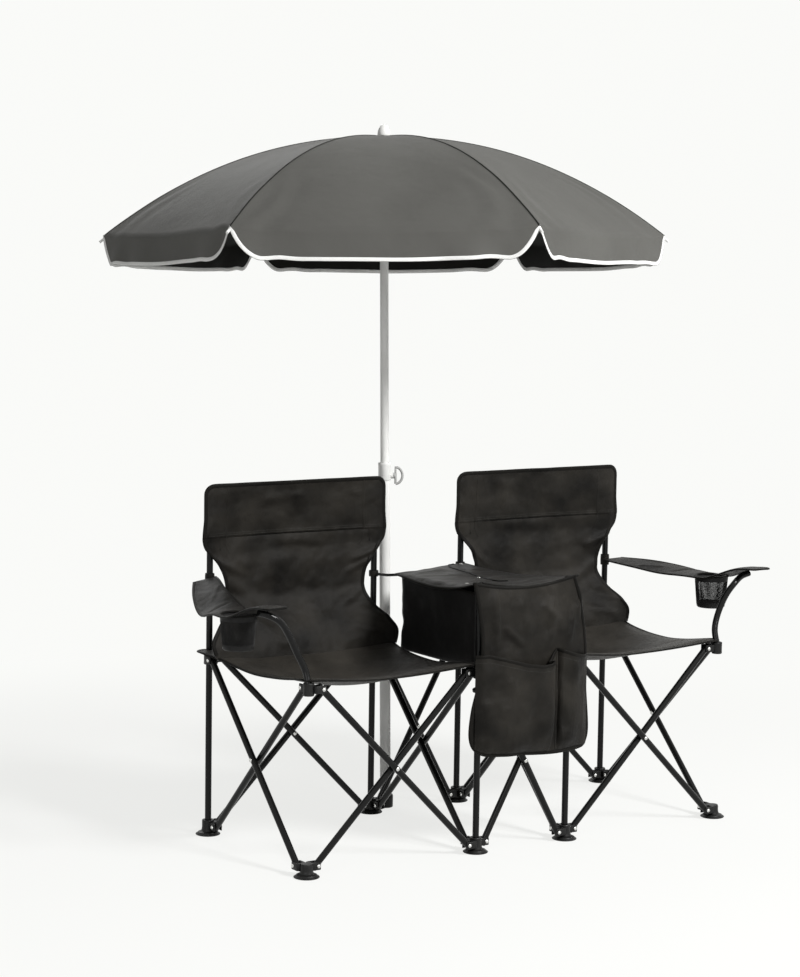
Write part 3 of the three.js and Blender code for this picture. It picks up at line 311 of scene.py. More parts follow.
def geometry_tree(name, numbers):
    """An empty Geometry Nodes tree with a geometry, the named number inputs and a material."""
    tree = bpy.data.node_groups.new(name, "GeometryNodeTree")

    def socket(name, kind, way="INPUT"):
        return tree.interface.new_socket(name=name, in_out=way, socket_type="NodeSocket" + kind)

    socket("Geometry", "Geometry")
    for label, value in numbers.items():
        kind = "Int" if isinstance(value, int) else "Float"
        socket(label, kind).default_value = value
    socket("Finish", "Material")
    socket("Geometry", "Geometry", "OUTPUT")
    return tree, tree.nodes.new("NodeGroupInput"), tree.nodes.new("NodeGroupOutput")


def close_tree(tree, start, end, geometry):
    """Ends a tree in Realize Instances and Set Material."""
    real = node(tree, "GeometryNodeRealizeInstances", Geometry=geometry).outputs[0]
    finish = start.outputs["Finish"]
    painted = node(tree, "GeometryNodeSetMaterial", Geometry=real, Material=finish)
    tree.links.new(painted.outputs[0], end.inputs[0])


def settle(obj):
    """Turns an object with modifiers into a plain mesh object of the same name."""
    name = obj.name
    graph = bpy.context.evaluated_depsgraph_get()
    mesh = bpy.data.meshes.new_from_object(obj.evaluated_get(graph), depsgraph=graph)
    bpy.data.objects.remove(obj)
    return placed(name, mesh)


def grown(name, tree, points, edges, finish, facings=None, **numbers):
    """Runs a tree on a bare mesh of points and edges and keeps the result as a plain mesh."""
    mesh = bpy.data.meshes.new(name)
    mesh.from_pydata([tuple(p) for p in points], edges, [])
    if facings is not None:
        attribute = mesh.attributes.new("facing", "FLOAT_VECTOR", "POINT")
        attribute.data.foreach_set("vector", np.array(facings, float).ravel())
    obj = placed(name, mesh)
    modifier = obj.modifiers.new("grow", "NODES")
    modifier.node_group = tree
    for item in tree.interface.items_tree:
        label = item.name.replace(" ", "_").lower()
        if item.in_out == "INPUT" and label in numbers:
            modifier[item.identifier] = numbers[label]
        if item.in_out == "INPUT" and item.name == "Finish":
            modifier[item.identifier] = finish
    return settle(obj)


def chain(count):
    return [(i, i + 1) for i in range(count - 1)]


tube_tree, tube_in, tube_out = geometry_tree("tube_along_path", {"Radius": 0.008, "Sides": 28})
path = node(tube_tree, "GeometryNodeMeshToCurve", Mesh=tube_in.outputs["Geometry"]).outputs[0]
section = node(
    tube_tree,
    "GeometryNodeCurvePrimitiveCircle",
    Radius=tube_in.outputs["Radius"],
    Resolution=tube_in.outputs["Sides"],
).outputs[0]
sweep = {"Curve": path, "Profile_Curve": section, "Fill_Caps": True}
wall = node(tube_tree, "GeometryNodeCurveToMesh", **sweep).outputs[0]
close_tree(tube_tree, tube_in, tube_out, wall)


def smoothed(obj, angle=35):
    """Smooth shading with crisp edges where faces meet at more than the angle."""
    mesh = obj.data
    mesh.polygons.foreach_set("use_smooth", [True] * len(mesh.polygons))
    mesh.set_sharp_from_angle(angle=math.radians(angle))
    mesh.update()
    return obj


def dressed(obj, body, nodes=()):
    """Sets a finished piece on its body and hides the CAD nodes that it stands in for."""
    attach(obj, body)
    if nodes:
        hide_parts(*nodes)
    return obj


def tube(name, points, radius, finish, sides=28):
    made = grown(name, tube_tree, points, chain(len(points)), finish, radius=radius, sides=sides)
    return smoothed(made)


def merged(name, objects):
    """Joins finished meshes of one piece into one object."""
    whole = bmesh.new()
    finishes = []
    for obj in objects:
        shift = []
        for material in obj.data.materials:
            if material not in finishes:
                finishes.append(material)
            shift.append(finishes.index(material))
        start = len(whole.faces)
        whole.from_mesh(obj.data)
        whole.faces.ensure_lookup_table()
        for face in whole.faces[start:]:
            face.material_index = shift[face.material_index] if shift else 0
    mesh = bpy.data.meshes.new(name)
    whole.to_mesh(mesh)
    whole.free()
    for obj in objects:
        bpy.data.objects.remove(obj)
    return placed(name, mesh, *finishes)


@contextmanager
def reworked(mesh):
    """Opens a mesh for bmesh operations and writes it back."""
    work = bmesh.new()
    work.from_mesh(mesh)
    yield work
    work.to_mesh(mesh)
    work.free()


def shell(name, points, faces, finish, angle=35):
    """A mesh from points and faces, with its faces turned outwards."""
    mesh = bpy.data.meshes.new(name)
    mesh.from_pydata([tuple(p) for p in points], [], faces)
    with reworked(mesh) as work:
        bmesh.ops.remove_doubles(work, verts=work.verts, dist=1e-6)
        bmesh.ops.recalc_face_normals(work, faces=work.faces)
    return smoothed(placed(name, mesh, finish), angle)


def on_circle(radius, swing, height=0.0):
    return Vector((radius * math.cos(swing), radius * math.sin(swing), height))


def spun(name, profile, finish, place=Matrix(), sides=40, angle=35):
    """A closed form of revolution from (radius, height) points, set by a placing matrix."""
    points = []
    for radius, height in profile:
        for i in range(sides):
            points.append(place @ on_circle(radius, math.tau * i / sides, height))
    faces = []
    for k in range(0, (len(profile) - 1) * sides, sides):
        for i in range(sides):
            j = (i + 1) % sides
            faces.append((k + i, k + j, k + sides + j, k + sides + i))
    if profile[0] != profile[-1]:
        if profile[0][0] > 0:
            faces.append(tuple(reversed(range(sides))))
        if profile[-1][0] > 0:
            faces.append(tuple(range((len(profile) - 1) * sides, len(profile) * sides)))
    return shell(name, points, faces, finish, angle)


def basis(first, second, third, place):
    """A placing matrix from its three axes and its origin."""
    return Matrix.Translation(place) @ Matrix((first, second, third)).transposed().to_4x4()


def body_of(node_name):
    """The body that a CAD node rides on."""
    bodies = frame["record"]["behaviour"]["bodies"]
    return next(body for body, nodes in bodies.items() if node_name in nodes)


rivet_points = {}


def add_rivet(body, pin, outward, reach):
    """Notes a rivet head that stands out of a face, for the rivets' own section."""
    rivet_points.setdefault(body, []).append((pin + outward * reach, outward))


moulding_dark, moulding_light = (0.006, 0.006, 0.006), (0.011, 0.011, 0.0105)
moulding = coated("black_moulding", moulding_dark, moulding_light, 0.34, 0.5, 500, 0.00012)

ring_bore = 0.0105
ring_outer = 0.015
ring_height = 0.008
ring_arm_width = 0.007
ring_curve = 0.0012
ring_arm_gap = 0.001
ring_arm_start = -0.0125
ring_arm_end = -0.034
ring_tilt = math.radians(10.4)
middle_rivet_reach = 0.0165
rivet_sink = 0.0003


def bevelled(obj, width, segments=2):
    modifier = obj.modifiers.new("edge", "BEVEL")
    modifier.width = width
    modifier.segments = segments
    modifier.limit_method = "ANGLE"
    modifier.angle_limit = math.radians(40)
    return smoothed(settle(obj), 40)


def slab(name, outline, low, high, place, finish, round_off=0.0008):
    """A plate with a flat outline, extruded from a low to a high level and set by a matrix."""
    points = [place @ Vector((x, y, z)) for z in (low, high) for x, y in outline]
    count = len(outline)
    faces = [tuple(range(count)), tuple(range(count, 2 * count))]
    faces += [(i, (i + 1) % count, count + (i + 1) % count, count + i) for i in range(count)]
    return bevelled(shell(name, points, faces, finish), round_off)


def ring_end(name, top, inward, across, side):
    """The ring on a middle tube's upper end, which slides on a post, and the arm that holds it."""
    third = up.cross(inward)
    hand = 1 if third.dot(across) * side > 0 else -1
    place = basis(inward, third, up, top) @ Matrix.Rotation(ring_tilt, 4, "Y")
    place = place @ Matrix.Translation((pin_offset, 0, 0))
    half, curve = ring_height / 2, ring_curve
    rounded = [(ring_bore + curve, -half), (ring_outer - curve, -half), (ring_outer, curve - half)]
    rounded += [(ring_outer, half - curve), (ring_outer - curve, half), (ring_bore + curve, half)]
    profile = [(ring_bore, curve - half), *rounded, (ring_bore, half - curve)]
    profile.append(profile[0])
    ring = spun(name + "_ring", profile, moulding, place, 36)
    near = ring_arm_gap * hand
    far = near + ring_arm_width * hand
    start, end = ring_arm_start, ring_arm_end
    outline = [(start, near), (end, near), (end, far), (start, far)]
    return [ring, slab(name + "_arm", outline, -half, half, place, moulding)]


for cross_name, start_corner, end_corner in crosses:
    narrow = cross_name.startswith("middle")
    first, last = corner(*start_corner), corner(*end_corner)
    along = (last - first).normalized()
    across = up.cross(along)
    top_height = middle_pin_height if narrow else hub_pin_height
    for letter, side in (("a", 1), ("b", -1)):
        foot_post, top_post = (first, last) if side > 0 else (last, first)
        inward = along * side
        foot_pin = foot_post + inward * pin_offset + up * foot_pin_height
        top_pin = top_post - inward * pin_offset + up * top_height
        slope = (top_pin - foot_pin).normalized()
        shift = across * side * tube_side_offset
        ends = [foot_pin - slope * tube_end + shift, top_pin + slope * tube_end + shift]
        name = f"{cross_name}_tube_{letter}"
        body = body_of(name)
        parts = [tube(name + "_wall", ends, tube_radius, enamel)]
        for end, way in zip(ends, (-slope, slope)):
            cap = basis(across, way.cross(across), way, end)
            parts.append(spun(name + "_plug", plug_profile, moulding, cap, 24))
        if narrow:
            parts += ring_end(name, top_pin, inward, across, side)
        dressed(merged(name + "_piece", parts), body, [name])
        if side > 0:
            middle = (foot_pin + top_pin) / 2
            add_rivet(body, middle, across, middle_rivet_reach)
            add_rivet(body, middle, -across, middle_rivet_reach + rivet_sink)


# Feet, posts and hubs: the posts stand in flared feet of black moulded plastic. Feet and hubs carry
# a U-shaped yoke for every tube that meets them, and the hubs slide on the posts.
post_radius = 0.008
rear_post_top = 0.846
front_post_top = 0.662
foot_profile = [(0, 0.0004), (0.0285, 0.0004), (0.0305, 0.0012), (0.031, 0.0024)]
foot_profile += [(0.0298, 0.0036), (0.0262, 0.0056), (0.0248, 0.0076), (0.0205, 0.0088)]
foot_profile += [(0.0172, 0.0108), (0.0158, 0.0148), (0.015, 0.02)]
socket_rim = [(0.015, 0.034), (0.0152, 0.0365), (0.0142, 0.038), (0.0102, 0.038)]
socket_rim += [(0.0092, 0.037), (0, 0.037)]
low_rim = [(0.015, 0.029), (0.0135, 0.033), (0, 0.0335)]
hub_lower = [(0.0085, -0.0135), (0.0095, -0.015), (0.0122, -0.015), (0.0135, -0.0132)]
hub_lower.append((0.0131, -0.006))
hub_upper = [(radius, -height) for radius, height in reversed(hub_lower)]
hub_profile = [*hub_lower, *hub_upper, hub_lower[0]]
yoke_inner = 0.0002
yoke_outer = 0.0168
yoke_inner_plate = 0.0057
yoke_outer_plate = 0.0035
yoke_wall_start = 0.007
yoke_wall_end = 0.0154
yoke_half_height = 0.009
yoke_reach = 0.008
yoke_nose = 0.003
yoke_round = 0.0011


def yoke(name, post, along, across, pin_height):
    """A U-shaped holder of a tube's end: two plates with a wall between them."""
    hand = 1 if up.cross(along).dot(across) > 0 else -1
    end, nose = pin_offset + yoke_reach, yoke_nose
    inside, outside = yoke_inner - yoke_inner_plate, yoke_outer + yoke_outer_plate
    outline = [
        (yoke_wall_start, inside),
        (end - nose, inside),
        (end, inside + nose),
        (end, yoke_inner),
        (yoke_wall_end, yoke_inner),
        (yoke_wall_end, yoke_outer),
        (end, yoke_outer),
        (end, outside - nose * 0.6),
        (end - nose, outside),
        (yoke_wall_start + 0.004, outside),
        (yoke_wall_start, outside - 0.005),
    ]
    outline = [(reach, side * hand) for reach, side in outline]
    place = basis(along, up.cross(along), up, post)
    low, high = pin_height - yoke_half_height, pin_height + yoke_half_height
    return slab(name, outline, low, high, place, moulding, yoke_round)


def yokes_at(name, column, row, at_foot):
    """The yokes of one corner, with their rivets noted for its body."""
    made = []
    height = foot_pin_height if at_foot else hub_pin_height
    for cross_name, start_corner, end_corner in crosses:
        starts = start_corner == (column, row)
        if not starts and end_corner != (column, row):
            continue
        if not at_foot and cross_name.startswith("middle"):
            continue
        way = (corner(*end_corner) - corner(*start_corner)).normalized()
        across = up.cross(way) * (1 if starts == at_foot else -1)
        along = way if starts else -way
        made.append(yoke(f"{name}_yoke", corner(column, row), along, across, height))
        pin = corner(column, row, height) + along * pin_offset
        add_rivet(body_of(name), pin, across, yoke_outer + yoke_outer_plate)
        add_rivet(body_of(name), pin, -across, yoke_inner_plate - yoke_inner)
    return made


socket_place = Vector((0.068, 0.034, 0))
umbrella_place = (
    Matrix.Translation(socket_place)
    @ Matrix.Rotation(math.radians(-2.41), 4, "X")
    @ Matrix.Rotation(math.radians(0.44), 4, "Y")
)
socket_profile = [(0, 0.0004), (0.0185, 0.0004), (0.02, 0.002), (0.02, 0.031), (0.0188, 0.034)]
socket_profile += [(0.0156, 0.034), (0.0146, 0.0325), (0.0146, 0.012), (0, 0.012)]
bridge_outline = [(0.02, -0.011), (0.06, -0.011), (0.06, 0.011), (0.02, 0.011)]
bridge_low = 0.001
bridge_top = 0.008
post_foot = 0.03

for column in column_x:
    for row in row_y:
        lone = row == "front" and column.endswith("outer")
        name = f"{column}_{row}_foot" if lone else f"{column}_{row}_post"
        where = Matrix.Translation(corner(column, row))
        profile = foot_profile + (low_rim if lone else socket_rim)
        parts = [spun(name + "_base", profile, moulding, where, 48)]
        parts += yokes_at(name, column, row, True)
        if not lone:
            top = rear_post_top if row == "rear" else front_post_top
            rod = [corner(column, row, post_foot), corner(column, row, top)]
            parts.append(tube(name + "_rod", rod, post_radius, enamel, 32))
        if name == "left_inner_rear_post":
            stand = Matrix.Translation(socket_place)
            parts.append(spun("umbrella_socket", socket_profile, moulding, stand, 40))
            way = socket_place.normalized()
            set_in = basis(way, up.cross(way), up, Vector())
            levels = (bridge_low, bridge_top)
            parts.append(slab("socket_bridge", bridge_outline, *levels, set_in, moulding))
        piece = merged(name + "_piece", parts)
        dressed(piece, body_of(name), [name])

arm_reach = 0.122
arm_rise = 0.184
arm_setback = 0.024
arm_bends = [(0, 0, 0.04), (0.02, 0.55, 0.24), (0.14, 0.92, 0.43), (0.36, 0.92, 0.71)]
arm_bends += [(0.57, 0.75, 0.88), (0.8, 1, 0.965), (1, 1, 1)]
hub_end = 0.0148


def flowing(points, steps):
    """Points on a centripetal Catmull-Rom curve through the given ones."""
    points = [Vector(p) for p in points]
    padded = [2 * points[0] - points[1], *points, 2 * points[-1] - points[-2]]
    made = []
    for k in range(1, len(padded) - 2):
        p = padded[k - 1 : k + 3]
        t = [0.0]
        for i in range(3):
            t.append(t[-1] + max((p[i + 1] - p[i]).length, 1e-9) ** 0.5)
        for i in range(steps):
            u = t[1] + (t[2] - t[1]) * i / steps

            def between(q, j, k):
                return (q[j] * (t[k] - u) + q[j + 1] * (u - t[j])) / (t[k] - t[j])

            a = [between(p, j, j + 1) for j in range(3)]
            b = [between(a, j, j + 2) for j in range(2)]
            made.append((b[0] * (t[2] - u) + b[1] * (u - t[1])) / (t[2] - t[1]))
    return [*made, points[-1]]


for column in column_x:
    for row in row_y:
        name = f"{column}_{row}_hub"
        where = Matrix.Translation(corner(column, row, hub_pin_height))
        carries_arm = row == "front" and column.endswith("outer")
        profile = [(0, -hub_end), *hub_profile[2:-2], (0, hub_end)] if carries_arm else hub_profile
        parts = [spun(name + "_sleeve", profile, moulding, where, 40)]
        parts += yokes_at(name, column, row, False)
        if carries_arm:
            outward = -1 if column.startswith("left") else 1
            base = corner(column, row, hub_pin_height)
            size = (outward * arm_reach, arm_setback, arm_rise)
            bends = [base + Vector([a * b for a, b in zip(size, bend)]) for bend in arm_bends]
            parts.append(tube(name + "_arm", flowing(bends, 8), tube_radius, enamel, 28))
        dressed(merged(name + "_piece", parts), body_of(name), [name])


# Rivets: a zinc-plated steel rivet closes every yoke and every crossing, with a low domed head at
# each end.
steel = finish("zinc_rivet", (0.62, 0.62, 0.6), 0.34, Metallic=1.0)
steel_stops = [(0.3, (0.5, 0.5, 0.48)), (0.7, (0.75, 0.75, 0.73))]
wire(steel, ramp(steel, speckle(steel, 700.0), steel_stops), "Base Color")
bump(steel, speckle(steel, 1500.0), 0.00005)

rivet_sizes = {"Head Radius": 0.005, "Head Height": 0.0025, "Sides": 20}
rivet_tree, rivet_in, rivet_out = geometry_tree("rivet_heads", rivet_sizes)


def pointed(tree, points, way, solid, size):
    """Ends a tree in a solid on every point, turned along a direction and scaled to a size."""
    turned = node(tree, "FunctionNodeAlignRotationToVector", {"axis": "Z"}, Vector=way.outputs[0])
    spots = node(
        tree,
        "GeometryNodeInstanceOnPoints",
        Points=points.outputs[0],
        Instance=solid.outputs[0],
        Rotation=turned.outputs[0],
        Scale=node(tree, "ShaderNodeCombineXYZ", X=size[0], Y=size[0], Z=size[1]).outputs[0],
    )
    return spots.outputs[0]


ball_sides = rivet_in.outputs["Sides"]
ball = node(rivet_tree, "GeometryNodeMeshUVSphere", Segments=ball_sides, Rings=8, Radius=1.0)
facing_kind = {"data_type": "FLOAT_VECTOR"}
facing_way = node(rivet_tree, "GeometryNodeInputNamedAttribute", facing_kind, Name="facing")
as_points = node(rivet_tree, "GeometryNodeMeshToPoints", Mesh=rivet_in.outputs["Geometry"])
head_size = (rivet_in.outputs["Head Radius"], rivet_in.outputs["Head Height"])
heads = pointed(rivet_tree, as_points, facing_way, ball, head_size)
close_tree(rivet_tree, rivet_in, rivet_out, heads)


def domed(name, spots, radius, height, sides):
    """Domed heads at (point, outward direction) pairs, as one mesh."""
    points, facings = [p for p, _ in spots], [f for _, f in spots]
    size = {"head_radius": radius, "head_height": height, "sides": sides}
    return smoothed(grown(name, rivet_tree, points, [], steel, facings, **size), 60)


for body, spots in rivet_points.items():
    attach(domed(f"rivets_{body}", spots, 0.005, 0.0026, 20), body)


# Umbrella poles: the lower pole stands in a socket on the left chair's inner rear foot. Its collar
# holds a clamp knob with a D-shaped loop, and the thinner upper pole slides in it.
pole_dark, pole_light = (0.62, 0.62, 0.6), (0.68, 0.68, 0.66)
pole_paint = coated("white_pole_paint", pole_dark, pole_light, 0.28, 0.42, 700, 0.00005)
grey_dark, grey_light = (0.3, 0.3, 0.295), (0.36, 0.36, 0.35)
grey_plastic = coated("grey_plastic", grey_dark, grey_light, 0.35, 0.5, 500, 0.0001)
lower_pole_profile = [(0, 0.0065), (0.0132, 0.0065), (0.014, 0.0075), (0.014, 0.8588)]
lower_pole_profile += [(0.0158, 0.8600), (0.0165, 0.8612), (0.0165, 0.897), (0.017, 0.8985)]
lower_pole_profile += [(0.017, 0.9045), (0.0162, 0.906), (0.0125, 0.906), (0.0119, 0.9052)]
lower_pole_profile += [(0.0119, 0.66), (0, 0.66)]
lower_pole = spun("lower_pole_piece", lower_pole_profile, pole_paint, umbrella_place, 48)
knob_height = 0.872
knob_bearing = math.radians(-32)
knob_way = on_circle(1, knob_bearing)
knob_place = umbrella_place @ basis(knob_way, up.cross(knob_way), up, Vector((0, 0, knob_height)))
sideways = knob_place @ Matrix.Rotation(math.radians(90), 4, "Y")
boss_profile = [(0.004, 0.012), (0.0078, 0.012), (0.008, 0.013), (0.008, 0.0213)]
boss_profile += [(0.0074, 0.022), (0.004, 0.022)]
boss = spun("knob_boss", boss_profile, pole_paint, sideways, 28)
dressed(merged("lower_pole_piece", [lower_pole, boss]), "frame", ["lower_pole"])

knob_reach = 0.0285
loop_half = 0.0215
loop_depth = 0.018
loop_wire = 0.0034
bow = []
for i in range(17):
    t = math.radians(-90 + 180 * i / 16)
    bow.append((knob_reach + loop_depth * math.cos(t), loop_half * math.sin(t)))
loop_points = [knob_place @ Vector((x, 0, z)) for x, z in bow + [(knob_reach, 0.0), bow[0]]]
stem_profile = [(0, 0.0121), (0.0024, 0.0121), (0.0024, 0.0223), (0.0078, 0.0226)]
stem_profile += [(0.0078, 0.0268), (0.006, knob_reach), (0, knob_reach)]
stem = spun("knob_stem", stem_profile, grey_plastic, sideways, 28)
loop = tube("knob_loop", loop_points, loop_wire, grey_plastic, 16)
dressed(merged("clamp_knob_piece", [stem, loop]), "clamp_knob", ["clamp_knob"])

canopy_top = 1.749
crown_top = canopy_top - 0.004
crown_bottom = crown_top - 0.016
crown_rim = 0.0236
upper_pole_profile = [(0, 0.656), (0.011, 0.656), (0.011, crown_bottom), (0.0115, crown_bottom)]
crown_steps = [(0.0128, -0.0034), (0.0225, -0.0032), (0.024, -0.002), (crown_rim, -0.0004)]
crown_steps += [(0.022, 0), (0.006, 0)]
finial_steps = [(0.006, 0.002), (0.0162, 0.002), (0.017, 0.004), (0.0168, 0.009), (0.0155, 0.0165)]
finial_steps += [(0.0128, 0.0232), (0.009, 0.0285), (0.0045, 0.0313), (0, 0.032)]
upper_pole_profile.append((0.0125, crown_bottom + 0.0006))
upper_pole_profile += [(radius, crown_top + rise) for radius, rise in crown_steps]
upper_pole_profile += [(radius, canopy_top + rise) for radius, rise in finial_steps]
upper_pole = spun("upper_pole_piece", upper_pole_profile, pole_paint, umbrella_place, 48)
rib_count = 6
rib_bearing = math.radians(-32.5)
rib_bearings = [rib_bearing + math.tau * i / rib_count for i in range(rib_count)]
crown_slot = 0.17


def tooth(name, middle, half, inner, steps, low, high, finish):
    """One of the blocks between the slots that hold the ribs or the stretchers."""
    swings = [middle - half + 2 * half * i / steps for i in range(steps + 1)]
    outline = [(crown_rim * math.cos(t), crown_rim * math.sin(t)) for t in swings]
    ends = [(inner * math.cos(t), inner * math.sin(t)) for t in (middle - half, middle + half)]
    outline = [ends[0], *outline, ends[1]]
    return slab(name, outline, low, high, umbrella_place, finish, 0.0005)


teeth = []
for swing in rib_bearings:
    middle, half = swing + 0.5 * math.tau / rib_count, math.tau / rib_count / 2 - crown_slot
    levels = (crown_bottom, crown_top - 0.003)
    teeth.append(tooth("crown_tooth", middle, half, 0.0124, 6, *levels, pole_paint))
upper_pole = merged("upper_pole_piece", [upper_pole, *teeth])
dressed(upper_pole, "upper_pole", ["upper_pole"])

# Ribs, stretchers and runner: six white steel ribs hang from the crown, each held up by a stretcher
# on a runner that slides on the pole. Their ends are flattened to eyes and pinned.
canopy_radius = 0.726
canopy_drop = 0.256
canopy_power = 2.2
hinge_reach = 0.018
hinge_drop = 0.010
crown_radius = 0.024
runner_pin_height = 1.602917
stretcher_reach = 0.402019
rib_gap = 0.007
rib_radius = 0.0024
tip_radius = 0.0034
tip_reaches = (-0.006, 0.008, 0.0108)
stretcher_radius = 0.0021
stretcher_side = 0.005
rib_dark, rib_light = (0.55, 0.55, 0.54), (0.62, 0.62, 0.6)
rib_steel = coated("white_rib_enamel", rib_dark, rib_light, 0.3, 0.45, 600, 0.00004)
ring_shares = np.array([0, 0.12, 0.32, 0.52, 0.7, 0.86, 1])
ring_radii = 0.008 + (canopy_radius - 0.008) * ring_shares
ring_heights = canopy_top - canopy_drop * (ring_radii / canopy_radius) ** canopy_power


def eased(value, start, end, low, high):
    t = min(max((value - start) / (end - start), 0), 1)
    return low + (high - low) * t * t * (3 - 2 * t)


def cloth_height(radius):
    """Level of the canopy's cloth over a rib."""
    slope = (ring_heights[-1] - ring_heights[-2]) / (ring_radii[-1] - ring_radii[-2])
    if radius > ring_radii[-1]:
        return ring_heights[-1] + slope * (radius - ring_radii[-1])
    return float(np.interp(radius, ring_radii, ring_heights))


def rib_point(swing, radius):
    """A point of a rib's middle line: level at the hinge, and then just under the cloth."""
    settled = eased(radius, hinge_reach, 2 * crown_radius, 0, 1)
    flat = canopy_top - (hinge_drop + (rib_gap - hinge_drop) * settled)
    height = flat + (cloth_height(radius) - rib_gap - flat) * settled
    return on_circle(radius, swing, height)


def eye(name, pin, across, radius, half):
    """The flattened and drilled end of a rib or a stretcher."""
    side = across.normalized()
    third = up if abs(side.z) < 0.9 else Vector((1, 0, 0))
    face, edge = (radius * 0.86, half), (radius, half * 0.6)
    profile = [(0, -half), (face[0], -half), (radius, -edge[1]), edge, face, (0, half)]
    return spun(name, profile, rib_steel, basis(third, side.cross(third), side, pin), 20)


for number, swing in enumerate(rib_bearings, 1):
    way = on_circle(1, swing)
    side = up.cross(way)
    turned_side = umbrella_place.to_3x3() @ side
    reaches = [hinge_reach, crown_radius, 2 * crown_radius]
    reaches += [r for r in ring_radii if r > 2 * crown_radius] + [canopy_radius + 0.006]
    line = flowing([rib_point(swing, r) for r in reaches], 4)
    tip_line = [umbrella_place @ rib_point(swing, canopy_radius + r) for r in tip_reaches]
    outer = umbrella_place @ (rib_point(swing, stretcher_reach) + side * stretcher_side)
    inner = umbrella_place @ (way * hinge_reach + side * stretcher_side + up * runner_pin_height)
    hinge = umbrella_place @ rib_point(swing, hinge_reach)
    rib_parts = [
        tube("rib_rod", [umbrella_place @ p for p in line], rib_radius, rib_steel, 12),
        tube("rib_tip", tip_line, tip_radius, rib_steel, 14),
        eye("rib_eye", hinge, turned_side, 0.0034, 0.0026),
    ]
    stretcher_parts = [
        tube("stretcher_rod", [inner, outer], stretcher_radius, rib_steel, 12),
        eye("stretcher_eye", inner, turned_side, 0.0032, 0.002),
        eye("stretcher_eye", outer, turned_side, 0.0032, 0.002),
    ]
    for name, parts in ((f"rib_{number}", rib_parts), (f"stretcher_{number}", stretcher_parts)):
        dressed(merged(name + "_piece", parts), body_of(name), [name])

runner_top = runner_pin_height + 0.010
runner_low = runner_top - 0.034
runner_tooth_half = 0.24
runner_tooth_turn = 0.25
runner_profile = [(0.0128, runner_low), (0.0152, runner_low), (0.016, runner_low + 0.0012)]
runner_steps = [(0.016, -0.012), (0.0165, -0.010), (0.0228, -0.0094), (0.024, -0.0082)]
runner_steps += [(crown_rim, -0.0045), (0.0132, -0.0042)]
runner_profile += [(radius, runner_pin_height + rise) for radius, rise in runner_steps]
runner_profile += [(0.0128, runner_top - 0.0006), (0.0118, runner_top)]
runner_profile = [(0.0118, runner_low + 0.001), *runner_profile, (0.0118, runner_low + 0.001)]
parts = [spun("runner_body", runner_profile, rib_steel, umbrella_place, 40)]
for swing in rib_bearings:
    middle, half = swing + math.tau / rib_count / 2 + runner_tooth_turn, runner_tooth_half
    levels = (runner_pin_height - 0.0045, runner_top)
    parts.append(tooth("runner_tooth", middle, half, 0.0126, 4, *levels, rib_steel))
dressed(merged("runner_piece", parts), "runner", ["runner"])


# Canopy: six gores of charcoal polyester sewn together over the ribs, with a valance that is cut up
# at every rib and bound all round with a white tape.
def woven(
    name, dark, light, pitch, depth, roughness, sheen, cloud_scale=7.0, crease=0.15, gleam=0.06
):
    """Cloth woven of flat yarns: a plain weave along the UV map, uneven colour and sheen."""
    material = finish(name, dark, roughness)
    shader = material.node_tree.nodes["Principled BSDF"]
    shader.inputs["Sheen Weight"].default_value = sheen
    shader.inputs["Sheen Roughness"].default_value = 0.45
    shader.inputs["Specular IOR Level"].default_value = gleam
    laid = node(material, "ShaderNodeUVMap").outputs[0]
    scaled = reckon(material, "SCALE", True, _0=laid, Scale=1 / pitch).outputs[0]
    parts = node(material, "ShaderNodeSeparateXYZ", _0=scaled)
    yarns = []
    for axis in ("X", "Y"):
        angle = reckon(material, "MULTIPLY", _0=parts.outputs[axis], _1=math.pi)
        wave = reckon(material, "SINE", _0=angle.outputs[0])
        yarns.append(reckon(material, "ABSOLUTE", _0=wave.outputs[0]).outputs[0])
    over = node(material, "ShaderNodeTexChecker", Vector=scaled, Scale=1.0).outputs["Fac"]
    mixed = {"Factor": over, "A": yarns[0], "B": yarns[1]}
    weave = node(material, "ShaderNodeMix", {"data_type": "FLOAT"}, **mixed).outputs[0]
    tone = ramp(material, speckle(material, cloud_scale, 4.0), [(0.32, dark), (0.7, light)])
    grain = node(material, "ShaderNodeMapRange", Value=weave, To_Min=0.72, To_Max=1.12).outputs[0]
    dyed = reckon(material, "SCALE", True, _0=tone, Scale=grain)
    wire(material, dyed.outputs[0], "Base Color")
    crumple, slack = speckle(material, 38.0, 3.0), speckle(material, 13.0, 2.0)
    layers = [(weave, depth, 0.7), (crumple, 0.0014, 0.4), (slack, 0.014 * crease, 0.8)]
    below = {}
    for height, reach, strength in layers:
        size = {"Height": height, "Distance": reach, "Strength": strength}
        below = {"Normal": node(material, "ShaderNodeBump", **size, **below).outputs[0]}
    wire(material, below["Normal"], "Normal")
    return material


def lay_map(mesh, flat):
    """Gives a mesh a UV map from the flat place of each of its points."""
    layer = mesh.uv_layers.new(name="UVMap")
    corners = np.zeros(len(mesh.loops), int)
    mesh.loops.foreach_get("vertex_index", corners)
    layer.data.foreach_set("uv", np.array(flat)[corners].ravel())


